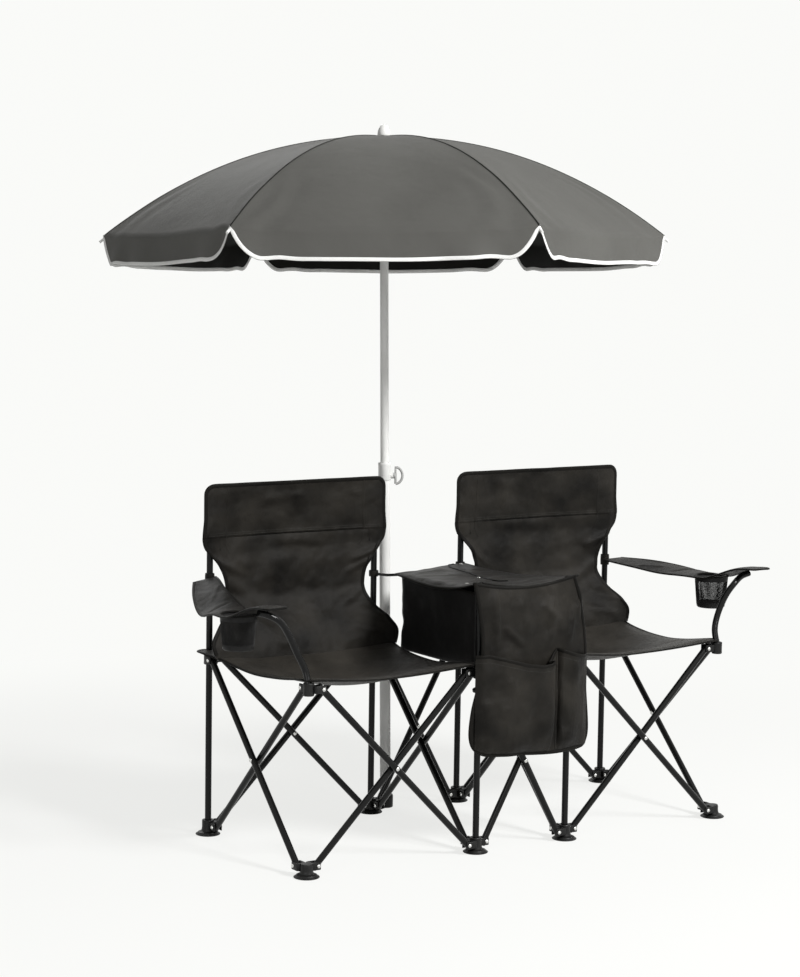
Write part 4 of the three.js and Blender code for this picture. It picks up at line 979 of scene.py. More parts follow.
def cloth(name, rows, thickness, finish, normals=None, spacing=None, keep=None, under=None):
    """A sheet of cloth through a grid of points, with its thickness and a UV map in metres.

    Normals and spacing may come from a larger grid that this one is a part of. Where keep says no,
    the sheet has no face. A two-sided sheet is given finish for the side that its normals point to,
    and under for the other side."""
    grid = np.array(rows, float)
    normals = grid_normals(grid) if normals is None else normals
    spacing = grid_spacing(grid) if spacing is None else spacing
    count_v, count_u = grid.shape[:2]
    front = (grid + normals * thickness / 2).reshape(-1, 3)
    back = (grid - normals * thickness / 2).reshape(-1, 3)
    total = count_v * count_u
    faces, edges = [], {}
    for v in range(count_v - 1):
        for u in range(count_u - 1):
            if keep is not None and not keep(v, u):
                continue
            a, b = v * count_u + u, v * count_u + u + 1
            c, d = b + count_u, a + count_u
            faces.append((a, b, c, d))
            edges.update({edge: True for edge in ((a, b), (b, c), (c, d), (d, a))})
    rims = [edge for edge in edges if (edge[1], edge[0]) not in edges]
    other_faces = [tuple(total + i for i in reversed(face)) for face in faces]
    other_faces += [(b, a, total + a, total + b) for a, b in rims]
    mesh = bpy.data.meshes.new(name)
    mesh.from_pydata(np.vstack([front, back]).tolist(), [], faces + other_faces)
    flat = np.stack(spacing, axis=-1).reshape(-1, 2)
    lay_map(mesh, np.vstack([flat, flat]))
    if under:
        sides = [0] * len(faces) + [1] * len(other_faces)
        mesh.polygons.foreach_set("material_index", sides)
    with reworked(mesh) as work:
        bare = [v for v in work.verts if not v.link_faces]
        bmesh.ops.delete(work, geom=bare, context="VERTS")
    return smoothed(placed(name, mesh, *([finish, under] if under else [finish])), 50)


def grid_normals(grid):
    across = np.gradient(grid, axis=1)
    down = np.gradient(grid, axis=0)
    normals = np.cross(across, down)
    lengths = np.linalg.norm(normals, axis=2, keepdims=True)
    return normals / np.maximum(lengths, 1e-12)


def grid_spacing(grid):
    """Distances along the rows and the columns of a grid, as the cloth was cut."""
    across = np.linalg.norm(np.diff(grid, axis=1), axis=2)
    across = np.hstack([np.zeros((len(grid), 1)), np.cumsum(across, axis=1)])
    across = across - across[:, across.shape[1] // 2 : across.shape[1] // 2 + 1]
    down = np.linalg.norm(np.diff(grid, axis=0), axis=2)
    down = np.vstack([np.zeros((1, grid.shape[1])), np.cumsum(down, axis=0)])
    return across, down


def tape(name, line, normals, width, thickness, finish, closed=False):
    """A bound edge: a flat folded tape that follows a line and lies in the cloth's surface."""
    line = [Vector(p) for p in line]
    normals = [Vector(n).normalized() for n in normals]
    sides, count = 12, len(line)
    section = []
    for i in range(sides):
        c, s = math.cos(math.tau * i / sides), math.sin(math.tau * i / sides)
        across = abs(c) ** 0.6 * math.copysign(width / 2, c)
        section.append((across, abs(s) ** 0.8 * math.copysign(thickness / 2, s)))
    points, flat, run = [], [], 0.0
    for i, p in enumerate(line):
        before = line[i - 1] if i or closed else p
        after = line[(i + 1) % count] if i + 1 < count or closed else p
        way = (after - before).normalized()
        side = normals[i].cross(way).normalized()
        face = way.cross(side).normalized()
        points += [p + side * a + face * b for a, b in section]
        if i:
            run += (p - line[i - 1]).length
        flat += [(run, a + b) for a, b in section]
    faces = []
    for i in range(count if closed else count - 1):
        near, far = i * sides, (i + 1) % count * sides
        for k in range(sides):
            m = (k + 1) % sides
            faces.append((near + k, near + m, far + m, far + k))
    if not closed:
        faces.append(tuple(reversed(range(sides))))
        faces.append(tuple(range((count - 1) * sides, count * sides)))
    mesh = bpy.data.meshes.new(name)
    mesh.from_pydata([tuple(p) for p in points], [], faces)
    with reworked(mesh) as work:
        bmesh.ops.recalc_face_normals(work, faces=work.faces)
    lay_map(mesh, flat)
    return smoothed(placed(name, mesh, finish), 70)


stitch_sizes = {"Spacing": 0.004, "Length": 0.003, "Thickness": 0.0004}
stitch_tree, stitch_in, stitch_out = geometry_tree("stitches_along_path", stitch_sizes)
stitch_path = node(stitch_tree, "GeometryNodeMeshToCurve", Mesh=stitch_in.outputs["Geometry"])
spaced_path = node(
    stitch_tree,
    "GeometryNodeResampleCurve",
    {"mode": "LENGTH"},
    Curve=stitch_path.outputs[0],
    Length=stitch_in.outputs["Spacing"],
)
thread = node(stitch_tree, "GeometryNodeMeshUVSphere", Segments=6, Rings=4, Radius=0.5)
along_seam = node(stitch_tree, "GeometryNodeInputTangent")
thread_size = (stitch_in.outputs["Thickness"], stitch_in.outputs["Length"])
threads = pointed(stitch_tree, spaced_path, along_seam, thread, thread_size)
close_tree(stitch_tree, stitch_in, stitch_out, threads)


def stitches(name, lines, finish):
    """Rows of stitches along several lines, as one mesh."""
    points, edges = [], []
    for line in lines:
        edges += [(len(points) + i, len(points) + i + 1) for i in range(len(line) - 1)]
        points += line
    size = {"spacing": 0.0042, "length": 0.0032, "thickness": 0.0005}
    return smoothed(grown(name, stitch_tree, points, edges, finish, **size), 80)


canopy_dark, canopy_light = (0.072, 0.071, 0.0655), (0.089, 0.088, 0.0815)
canopy_cloth = woven(
    "canopy_polyester", canopy_dark, canopy_light, 0.0008, 0.00008, 0.62, 0.04, 3.2
)
# Painted shade: a much darker copy of the canopy cloth for the canopy's underside and its seam
# tapes, which stands in for the shade under the canopy and along its seams.
painted_shade_dark, painted_shade_light = (0.008, 0.008, 0.007), (0.013, 0.013, 0.011)
canopy_coating = woven(
    "canopy_coating", painted_shade_dark, painted_shade_light, 0.0008, 0.00005, 0.6, 0.0, 3.2
)
tape_dark, tape_light = (0.6, 0.6, 0.585), (0.7, 0.7, 0.68)
white_tape = woven("white_binding", tape_dark, tape_light, 0.0007, 0.00008, 0.7, 0.05)
grey_thread = finish("charcoal_thread", (0.05, 0.05, 0.046), 0.8)
thread_stops = [(0.3, (0.035, 0.035, 0.032)), (0.7, (0.07, 0.07, 0.064))]
wire(grey_thread, ramp(grey_thread, speckle(grey_thread, 900.0), thread_stops), "Base Color")
bump(grey_thread, speckle(grey_thread, 2500.0), 0.00005)

gore_half_columns = 22
gore_rows = 44
valance_rows = 12
valance_height = 0.072
notch_share = 0.108
valance_flare = 0.009
panel_sag = 0.007
cloth_half = 0.0006
crown_hole = 0.0085
wave_height = 0.0035
tip_fold_height = 0.0026
edge_lift = 0.003
hem_ripple = 0.0035
binding_width = 0.0098
binding_thickness = 0.0028
binding_inset = 0.0052
seam_width = 0.0042
seam_thickness = 0.0016
seam_offset = 0.0011
stitch_offset = 0.0034
gore_folded_share = 0.16


def notch_depth(share):
    """How far down the valance hangs, as a share of its height, beside a rib."""
    t = min(abs(share) / notch_share, 1.0)
    return 0.09 + 0.91 * (1 - (1 - t) ** 2.3)


def gore_point(number, share, radius):
    """A point of the stretched cloth. Share 0 is over the rib, -0.5 and 0.5 are mid-gore."""
    swing = rib_bearings[number]
    other = swing + math.copysign(math.tau / rib_count, share)
    rib_way, next_way = (np.array([math.cos(t), math.sin(t)]) for t in (swing, other))
    a, out = abs(share), radius / canopy_radius
    flat = rib_way * (1 - a) + next_way * a
    height = canopy_top - canopy_drop * out**canopy_power
    spread = 4 * a * (1 - a)
    sag = panel_sag * spread * out
    mid = swing + share * math.tau / rib_count
    cell = Vector((math.cos(mid) * 3.1, math.sin(mid) * 3.1, radius * 5))
    wave = noise.noise(cell) * wave_height * spread
    fan = math.sin(a * 46 + 7 * noise.noise(Vector((number, share, radius * 4))))
    near_tip = eased(out, 0.55, 1.0, 0, 1) * math.exp(-(((a - 0.1) / 0.1) ** 2))
    wave += tip_fold_height * fan * near_tip
    edge_pull = eased(out, 0.9, 1.0, 0, 1) * spread * edge_lift
    return np.array([flat[0] * radius, flat[1] * radius, height - sag + wave - edge_pull])


def valance_point(number, share, down):
    """A point of the valance, which hangs from the canopy's edge and flares a little."""
    rim = gore_point(number, share, canopy_radius)
    depth_share = notch_depth(share)
    fall = valance_height * depth_share * down
    outward = rim[:2] / np.linalg.norm(rim[:2])
    swing = rib_bearings[number] + share * math.tau / rib_count
    ripple = hem_ripple * math.sin(swing * 19 + 2.2 * math.sin(swing * 7)) * down * depth_share
    flare = valance_flare * depth_share * down**1.3 + ripple
    return np.array([*(rim[:2] + outward * flare), rim[2] - fall])


def ride_and_fold(pieces, body, joint, **how):
    """Sets pieces on a body, each with its own copy of its mesh; the joint is not used."""
    for piece in pieces:
        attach(piece, body)
        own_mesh(piece)


# Shares from mid-gore to mid-gore, close together at the notch beside the rib.
near = np.linspace(0, notch_share, 21)
far = notch_share + (0.5 - notch_share) * np.linspace(0, 1, gore_half_columns)[1:]
half_shares = np.concatenate([near, far])
shares = np.concatenate([-half_shares[:0:-1], half_shares])
over_rib = len(shares) // 2
shares[over_rib] = 1e-9
radii = crown_hole + (canopy_radius - crown_hole) * np.linspace(0, 1, gore_rows) ** 0.92
downs = np.linspace(0, 1, valance_rows)[1:]
placing = np.array(umbrella_place.to_3x3())
for number, swing in enumerate(rib_bearings):
    rows = [[gore_point(number, u, r) for u in shares] for r in radii]
    rows += [[valance_point(number, u, d) for u in shares] for d in downs]
    grid = np.array(rows) @ placing.T + np.array(umbrella_place.translation)
    name, rib_name = f"canopy_gore_{number + 1}", f"rib_{number + 1}"
    # The canopy's underside, which the normals point to, gets the painted shade colour; its upper
    # side gets the canopy cloth.
    gore = cloth(name, grid, 2 * cloth_half, canopy_coating, under=canopy_cloth)
    normals = grid_normals(grid)
    edge, edge_normals, low = [], [], grid[-1]
    for i in range(len(shares)):
        before, after = low[max(i - 1, 0)], low[min(i + 1, len(shares) - 1)]
        n = Vector(normals[-1, i])
        inward = n.cross(Vector(after - before).normalized()).normalized()
        if inward.dot(Vector(grid[-2, i] - low[i])) < 0:
            inward = -inward
        edge.append(Vector(low[i]) + inward * binding_inset)
        edge_normals.append(n)
    size = (binding_width, binding_thickness)
    binding = tape(f"canopy_binding_{number + 1}", edge, edge_normals, *size, white_tape)
    # The seam tape over each rib is painted shade: a dark line in the painted shade colour that
    # stands in for the shadow along the seam.
    seam_rows, seam_normals = grid[1:gore_rows, over_rib], normals[1:gore_rows, over_rib]
    seam_line = [Vector(p) - Vector(n) * seam_offset for p, n in zip(seam_rows, seam_normals)]
    size = (seam_width, seam_thickness)
    seam = tape(f"canopy_seam_{number + 1}", seam_line, seam_normals, *size, canopy_coating)
    ways = np.gradient(seam_rows, axis=0)
    seam_side = [Vector(np.cross(n, way)).normalized() for n, way in zip(seam_normals, ways)]
    lines = []
    for hand in (-1, 1):
        trio = zip(seam_line, seam_side, seam_normals)
        lines.append([p + s * stitch_offset * hand - Vector(n) * 0.0002 for p, s, n in trio])
    sewn = stitches(f"canopy_seam_stitches_{number + 1}", lines, grey_thread)
    hinge = umbrella_place @ rib_point(swing, hinge_reach)
    sideways = umbrella_place.to_3x3() @ Vector((-math.sin(swing), math.cos(swing), 0))
    how = {"axis": sideways, "anchor": hinge, "keep": gore_folded_share}
    ride_and_fold((gore, binding, seam, sewn), rib_name, "umbrella_close", **how)
    if number == 0:
        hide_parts("canopy")

# Slings: the seat and the back of each chair are shaped sheets of oxford cloth, sewn together and
# bound all round. The seat hangs from the hubs and the back from two sleeves over the rear posts.
oxford_dark, oxford_light = (0.0026, 0.0022, 0.0016), (0.0175, 0.0155, 0.0125)
oxford_weave = (0.0012, 0.0002, 0.46, 0.03, 9.0)
oxford = woven("black_oxford", oxford_dark, oxford_light, *oxford_weave, crease=1.0, gleam=0.1)
# Painted light: the seat is given a lighter copy of the black oxford, which stands in for the light
# that falls on its upper face from above.
painted_lit_seat_dark, painted_lit_seat_light = (0.014, 0.0125, 0.010), (0.032, 0.0287, 0.0238)
seat_oxford = woven("seat_oxford", painted_lit_seat_dark, painted_lit_seat_light, *oxford_weave, crease=0.8, gleam=0.1)
edge_dark, edge_light = (0.0035, 0.0032, 0.0027), (0.0075, 0.0068, 0.0056)
black_tape = woven("black_binding", edge_dark, edge_light, 0.0009, 0.0001, 0.5, 0.03)

seat_half = seat_pitch / 2 + 0.012
seat_corner = 0.466
seat_front_bow = 0.030
seat_rear_bow = 0.080
seat_edge_places = [0, 0.08, 0.2, 0.35, 0.5, 0.65, 0.8, 0.92, 1]
seat_edge_shares = [1.11, 1.1, 1.01, 0.985, 0.97, 0.94, 0.95, 0.985, 1]
front_sag = 0.018
side_sag = 0.024
middle_sag = 0.022
back_top = 0.880
back_low = 0.466
back_half = 0.263
back_places = [0, 0.074, 0.153, 0.214, 0.335, 0.46, 0.56, 0.62, 0.8, 1]
back_widths = [1, 1.03, 0.947, 0.848, 0.768, 0.806, 0.913, 0.994, 1, 1]
back_feet = [1, 0.9, 0.66, 0.36, 0, 0, 0, 0, 0, 0]
back_foot = 0.060
back_forward = 0.012
back_low_forward = 0.018
headrest_seam = 0.748
sleeve_low = 0.715
sleeve_top = 0.852
sleeve_close = 0.011
sleeve_half = 0.0168
sleeve_depth = 0.0245
back_corner = 0.026
seat_thickness = 0.0026
back_thickness = 0.0026
sleeve_thickness = 0.0022
seam_lift = 0.0015
welt_size = (0.006, 0.0016)
seat_places = 49
seat_corner_share = 0.11
seat_rumple = 0.0034
back_clear_half = 0.227
back_waist = 0.6
back_curve = 0.020
headrest_step = 0.0035
post_press = 0.003
back_rumple = 0.0055
back_crumple = 0.0022
pucker_height = 0.0011
back_fold_share = 1.5
sleeve_shift = 0.0055
sleeve_front = -0.0125
seat_folds = [
    (-0.20, -0.42, -0.10, -0.33, 0.012, 0.0022),
    (0.20, -0.43, 0.09, -0.34, 0.012, 0.0022),
    (-0.21, -0.10, -0.12, -0.16, 0.010, 0.0018),
    (0.21, -0.10, 0.12, -0.17, 0.010, 0.0018),
    (-0.15, -0.455, 0.02, -0.452, 0.010, -0.0018),
]


def flowing_share(value, places, amounts):
    """A smooth curve through a table of places and amounts."""
    x, y = np.array(places, float), np.array(amounts, float)
    value = np.clip(np.asarray(value, float), x[0], x[-1])
    rise = np.diff(y) / np.diff(x)
    slope = np.concatenate([rise[:1], (rise[1:] + rise[:-1]) / 2, rise[-1:]])
    turns = np.concatenate([[False], rise[1:] * rise[:-1] <= 0, [False]])
    slope[turns] = 0
    i = np.clip(np.searchsorted(x, value, side="right") - 1, 0, len(x) - 2)
    h = x[i + 1] - x[i]
    t = (value - x[i]) / h
    return (
        (1 + 2 * t) * (1 - t) ** 2 * y[i]
        + t * (1 - t) ** 2 * h * slope[i]
        + t**2 * (3 - 2 * t) * y[i + 1]
        - t**2 * (1 - t) * h * slope[i + 1]
    )


def stepped(value, start, end):
    t = np.clip((value - start) / (end - start), 0, 1)
    return t * t * (3 - 2 * t)


def spread(count, closeness):
    """Places from -1 to 1 that lie closer together towards both ends."""
    t = np.linspace(-1, 1, count)
    return (1 - closeness) * t + closeness * np.sin(t * math.pi / 2)


def round_corners(across, along, size):
    """Draws the corners of a -1 to 1 square into quarter circles."""
    across, along = np.broadcast_arrays(across, along)
    a, b = (np.clip((np.abs(side) - 1 + size) / size, 0, 1) for side in (across, along))
    corner = (a > 0) & (b > 0)
    round_a = np.where(corner, 1 - size + size * a * np.sqrt(1 - b * b / 2), np.abs(across))
    round_b = np.where(corner, 1 - size + size * b * np.sqrt(1 - a * a / 2), np.abs(along))
    return np.sign(across) * round_a, np.sign(along) * round_b


def rumple(x, y, scale, seed):
    """Smooth uneven cloth, between about -1 and 1."""
    flat = [noise.noise(Vector((a * scale, b * scale, seed))) for a, b in zip(x.ravel(), y.ravel())]
    return np.array(flat).reshape(x.shape)


def folds(x, y, lines):
    """Soft folds along straight lines: each has its two ends, its half width and its height."""
    total = np.zeros_like(x)
    for x0, y0, x1, y1, width, height in lines:
        dx, dy = x1 - x0, y1 - y0
        t = np.clip(((x - x0) * dx + (y - y0) * dy) / (dx * dx + dy * dy), 0, 1)
        away = (x - x0 - t * dx) ** 2 + (y - y0 - t * dy) ** 2
        total += height * np.exp(-away / width**2) * (1 - (2 * t - 1) ** 4)
    return total


def part(grid, rows, columns):
    """Cuts a piece out of a larger sheet, with the normals and the cloth grain of the whole."""
    normals = grid_normals(grid)
    across, down = grid_spacing(grid)
    return {
        "rows": grid[rows, columns],
        "normals": normals[rows, columns],
        "spacing": (across[rows, columns], down[rows, columns]),
    }


def bind(name, grid, cells, inset=0.0035, width=0.009, thickness=0.0042, finish=None):
    """Tape folded over an edge of a sheet, along the grid cells that follow the edge."""
    normals = grid_normals(grid)
    middle = grid.reshape(-1, 3).mean(axis=0)
    line, ups = [], []
    for k, (v, u) in enumerate(cells):
        before, after = cells[max(k - 1, 0)], cells[min(k + 1, len(cells) - 1)]
        way = grid[after] - grid[before]
        inward = np.cross(normals[v, u], way)
        inward /= max(np.linalg.norm(inward), 1e-9)
        if inward.dot(middle - grid[v, u]) < 0:
            inward = -inward
        line.append(grid[v, u] + inward * inset)
        ups.append(normals[v, u])
    return tape(name, line, ups, width, thickness, finish or black_tape)


def three_sides(grid, first=0):
    """The cells along a sheet's two sides and its last row, from a first row on."""
    rows, columns = grid.shape[:2]
    cells = [(v, 0) for v in range(first, rows)] + [(rows - 1, u) for u in range(1, columns)]
    return cells + [(v, columns - 1) for v in range(rows - 2, first - 1, -1)]


# Inset, width and thickness of each bound edge.
back_edge = (0.004, 0.0105, 0.0046)
sleeve_edge = (0.003, 0.007, 0.0036)
strap_edge = (0.003, 0.008, 0.0046)
table_edge = (0.003, 0.009, 0.0046)
rim_edge = (0.003, 0.008, 0.0042)
panel_edge = (0.0035, 0.010, 0.0062)
panel_head_edge = (0.003, 0.008, 0.0056)
pocket_edge = (0.0035, 0.009, 0.0046)


def hang(share):
    """How far cloth sags between its two sides, from 1 in the middle to 0 at each side."""
    return np.maximum(1 - (share / 0.88) ** 2, 0) ** 1.25


def seat_level(across, along):
    """Height of the seat's plain sag."""
    wide, deep = hang(across), hang(along)
    return seat_corner - (front_sag * wide + side_sag * deep + middle_sag * wide * deep)


def seat_grid(middle, seed):
    """The whole seat: bowed edges between its four corners, sag, rumple and folds."""
    places = spread(seat_places, 0.6)
    across, along = round_corners(places[None, :], places[:, None], seat_corner_share)
    edge = flowing_share((along + 1) / 2, seat_edge_places, seat_edge_shares)
    bow = np.where(along < 0, seat_rear_bow, seat_front_bow) * hang(across)
    x = across * seat_half * edge
    y = -seat_pitch / 2 - along * (seat_half - bow)
    z = seat_level(across, along)
    z = z + seat_rumple * rumple(x, y, 9, seed) * hang(across * 0.85) * hang(along * 0.85)
    z += folds(x, y, seat_folds)
    return np.stack([x + middle, y, z], axis=-1)


def back_grid(middle, seed, lines):
    """The back: its waist, its foot, the headrest's seam, and its curve, rumple and folds."""
    near_seam = np.array([-0.004, -0.0025, -0.0012, 0, 0.0012, 0.0025, 0.004])
    near_top = back_corner * np.array([0.8, 0.62, 0.45, 0.3, 0.18, 0.08, 0])
    plain = np.linspace(back_low, back_top - 0.028, 62)
    heights = np.concatenate([plain, headrest_seam + near_seam, back_top - near_top])
    level = np.sort(heights)[:, None]
    across = spread(61, 0.6)[None, :]
    a = np.clip((np.abs(across) - 0.9) / 0.1, 0, 1)
    b = np.clip((level - back_top + back_corner) / back_corner, 0, 1)
    corner = (a > 0) & (b > 0)
    side = np.where(corner, 0.9 + 0.1 * a * np.sqrt(1 - b * b / 2), np.abs(across))
    rounded = back_top - back_corner * (1 - b * np.sqrt(1 - a * a / 2))
    level = np.where(corner, rounded, level + 0 * across)
    across = np.sign(across) * side
    t = (level - back_low) / (back_top - back_low)
    x = across * back_half * flowing_share(t, back_places, back_widths)
    free = np.maximum(1 - (x / back_clear_half) ** 2, 0)
    foot_run = seat_pitch / 2 - back_low_forward - back_foot
    base = seat_level(across, -foot_run / (seat_half - seat_rear_bow * hang(across)))
    drawn = base + (back_waist - base) * (level - back_low) / (back_waist - back_low)
    z = np.where(level >= back_waist, level, drawn)
    y = back_curve * free * np.sin(math.pi * t)
    y -= back_low_forward + (back_forward - back_low_forward) * stepped(z, 0.668, sleeve_low)
    step = stepped(z, headrest_seam - 0.002, headrest_seam + 0.0008)
    y -= headrest_step * step * (0.3 + 0.7 * free)
    y += 0.0016 * np.exp(-(((z - headrest_seam + 0.003) / 0.003) ** 2)) * free
    y -= back_foot * flowing_share(t, back_places, back_feet)
    y -= post_press * np.exp(-(((np.abs(x) - 0.24) / 0.013) ** 2)) * stepped(z, 0.69, 0.73)
    loose = np.clip(free * 3, 0.12, 1)
    y -= back_rumple * rumple(x, z, 8, seed) * loose
    y -= back_crumple * rumple(x, z, 24, seed + 5) * loose
    pucker = np.exp(-(((z - headrest_seam) / 0.012) ** 2)) * pucker_height
    y -= pucker * np.sin(x * 210 + 3 * np.sin(x * 47)) * loose
    y -= back_fold_share * folds(x, z, lines)
    return np.stack([x + middle, y, z], axis=-1)


def sleeve_grid(post, inward):
    """The strip that closes the back round the rear of a post."""
    swing = np.linspace(0, math.pi, 25)[None, :]
    rounded = sleeve_top - sleeve_close * np.array([0.7, 0.45, 0.25, 0.1, 0])
    level = np.concatenate([np.linspace(sleeve_low, sleeve_top - sleeve_close, 12), rounded])
    level = level[:, None]
    close = np.clip((level - sleeve_top + sleeve_close) / sleeve_close, 0, 1)
    depth = sleeve_depth * np.sqrt(1 - close**2) * np.sin(swing) ** 0.8
    x = post + inward * sleeve_shift + sleeve_half * np.cos(swing) + 0 * level
    y = sleeve_front + depth + 0.0008 * np.sin(level * 160) * np.sin(swing)
    return np.stack([x, y, level + 0 * swing], axis=-1)


def stitched(grid, cells, lift):
    """A line over some cells of a sheet, lifted off its surface."""
    normals = grid_normals(grid)
    return [Vector(grid[v, u]) + Vector(normals[v, u]) * lift for v, u in cells]


back_folds = {
    "left": [
        (0.255, 0.705, 0.165, 0.668, 0.0075, 0.0042),
        (0.235, 0.675, 0.150, 0.640, 0.0065, 0.0034),
        (-0.240, 0.695, -0.150, 0.652, 0.008, 0.0038),
        (-0.200, 0.640, -0.080, 0.560, 0.014, 0.0036),
        (-0.165, 0.575, -0.060, 0.470, 0.007, 0.0046),
        (0.262, 0.520, 0.170, 0.548, 0.008, 0.0040),
        (0.240, 0.485, 0.130, 0.512, 0.0065, 0.0040),
        (0.205, 0.600, 0.090, 0.540, 0.012, 0.0034),
        (-0.060, 0.730, 0.100, 0.722, 0.009, 0.0020),
        (-0.100, 0.836, 0.030, 0.846, 0.011, 0.0026),
        (0.150, 0.852, 0.190, 0.836, 0.006, 0.0030),
        (-0.250, 0.500, -0.150, 0.520, 0.007, 0.0036),
    ],
    "right": [
        (-0.250, 0.700, -0.150, 0.620, 0.010, 0.0046),
        (-0.215, 0.650, -0.110, 0.560, 0.008, 0.0034),
        (0.250, 0.700, 0.160, 0.662, 0.0075, 0.0038),
        (0.205, 0.620, 0.090, 0.560, 0.012, 0.0036),
        (0.262, 0.515, 0.150, 0.545, 0.008, 0.0042),
        (0.240, 0.480, 0.120, 0.505, 0.0065, 0.0036),
        (-0.255, 0.510, -0.140, 0.540, 0.008, 0.0038),
        (-0.120, 0.735, 0.040, 0.726, 0.009, 0.0022),
        (-0.150, 0.850, -0.060, 0.838, 0.010, 0.0026),
    ],
}
seat_frame = {
    "left": ("left_outer", "left_inner", "left_outer_rear_post"),
    "right": ("right_outer", "right_inner", "right_outer_rear_post"),
}
folded_share = 0.19
seat_folded_share = 0.12
sleeve_seam = 0.202
for hand, (outer, inner, post_body) in seat_frame.items():
    outer_x, inner_x = column_x[outer], column_x[inner]
    middle = (outer_x + inner_x) / 2
    seed = 3.0 if hand == "left" else 11.0
    grid = seat_grid(middle, seed)
    half, last = seat_places // 2, seat_places - 1
    for along, tube_letter in (("rear", "b"), ("front", "a")):
        for side in ("left", "right"):
            outside = (side == "left") == (outer_x < inner_x)
            column, post_x = (outer, outer_x) if outside else (inner, inner_x)
            name = f"{hand}_seat_{along}_{'outer' if outside else 'inner'}"
            rows, columns = (
                slice(0, half + 1) if first else slice(half, None)
                for first in (along == "rear", side == "left")
            )
            quarter = part(grid, rows, columns)
            piece = cloth(name, thickness=seat_thickness, finish=seat_oxford, **quarter)
            edge_row, edge_column = 0 if along == "rear" else last, 0 if side == "left" else last
            inside_columns = range(half, -1, -1) if side == "left" else range(half, last + 1)
            inside_rows = range(1, half + 1) if along == "rear" else range(last - 1, half - 1, -1)
            cells = [(edge_row, u) for u in inside_columns]
            edging = bind(name + "_binding", grid, cells + [(v, edge_column) for v in inside_rows])
            row = 3 if along == "rear" else last - 4
            cells = [(row, u) for u in inside_columns][:-3]
            seam = [stitched(grid, cells, lift) for lift in (seam_lift, -seam_lift)]
            sewn = stitches(name + "_stitches", seam, grey_thread)
            axis = (0.93 if post_x < middle else -0.93, 0, 0.37)
            how = {"axis": axis, "anchor": (post_x, 0, seat_corner), "keep": seat_folded_share}
            body = body_of(f"{column}_side_tube_{tube_letter}")
            ride_and_fold((piece, edging, sewn), body, "fold", **how)
            trim = [edging, sewn]
    back = back_grid(middle, seed + 2, back_folds[hand])
    panel = cloth(f"{hand}_back", back, back_thickness, oxford)
    rows, columns = back.shape[:2]
    edging = bind(f"{hand}_back_binding", back, three_sides(back, 1), *back_edge)
    level = back[:, columns // 2, 2]
    seam_row = int(np.argmin(np.abs(level - headrest_seam - 0.004)))
    sleeve_row = int(np.argmin(np.abs(level - sleeve_low)))
    seam_columns = [
        int(np.argmin(np.abs(back[-12, :, 0] - middle - way * sleeve_seam))) for way in (-1, 1)
    ]
    lines = [[(seam_row + k, u) for u in range(4, columns - 4)] for k in (0, 1)]
    lines += [[(v, u) for v in range(sleeve_row, rows - 3)] for u in seam_columns]
    seams = [stitched(back, line, 0.0014) for line in lines]
    sewn = stitches(f"{hand}_back_stitches", seams, grey_thread)
    welts, normals = [], grid_normals(back)
    for u in seam_columns:
        cells = [(v, u) for v in range(sleeve_row - 1, rows - 2)]
        points = stitched(back, cells, 0.001)
        welts.append(tape("welt", points, [normals[c] for c in cells], *welt_size, oxford))
    welt = merged(f"{hand}_sleeve_welts", welts)
    how = {"axis": (1, 0, 0), "anchor": (outer_x, 0, 0), "keep": folded_share}
    ride_and_fold((panel, edging, sewn, welt), post_body, "fold", **how)
    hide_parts(f"{hand}_sling")
    for column, x in ((outer, outer_x), (inner, inner_x)):
        wrap = sleeve_grid(x, 1 if x < middle else -1)
        sleeve = cloth(f"{column}_sleeve", wrap, sleeve_thickness, oxford)
        low_edge = [(0, u) for u in range(wrap.shape[1])]
        hem = bind(f"{column}_sleeve_hem", wrap, low_edge, *sleeve_edge)
        for soft in (sleeve, hem):
            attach(soft, body_of(f"{column}_rear_post"))
        post = f"{column}_rear_post_piece"


# Arm rests: a shaped strap runs from a sleeve on the outer rear post over the bent arm tube. A net
# cup pocket hangs in it, held by a bound mouth.
strap_places = [0, 0.14, 0.29, 0.57, 0.86, 1]
strap_reaches = [0.12, 0.4, 0.62, 0.82, 0.885, 0.9]
strap_rises = [1, 0.62, 0.16, 0, 0, 0]
strap_widths = [0.65, 0.86, 0.96, 1, 0.76, 0.67]
strap_twists = [0.2, 0.85, 1, 0, 0, 0]
strap_length = 0.522
strap_start = 0.0088
strap_width = 0.098
strap_level = 0.609
strap_rear_rise = {"left": 0.037, "right": 0.012}
strap_front_rise = 0.039
strap_twist = {"left": math.radians(32), "right": math.radians(-7)}
strap_folds = [
    (0.03, -0.10, 0.085, -0.16, 0.007, 0.003),
    (0.055, -0.215, 0.14, -0.225, 0.006, -0.0028),
    (0.085, -0.415, 0.13, -0.405, 0.006, 0.0022),
]
cup_forward = 0.329
cup_mouth = 0.043
cup_floor = 0.037
cup_depth = 0.084
strap_thickness = 0.003
cup_ring_size = (0.0085, 0.0048)
strap_curl = 0.004
strap_rumple = 0.0014
strap_end_share = 0.055
strap_folded_share = 0.06
ring_sides = 56
net_strands = 78
net_levels = 13
net_turn = 14
net_wire = 0.00062
net_dark, net_light = (0.006, 0.006, 0.006), (0.012, 0.0115, 0.011)
net_black = coated("black_net", net_dark, net_light, 0.45, 0.7, 900, 0.00005)


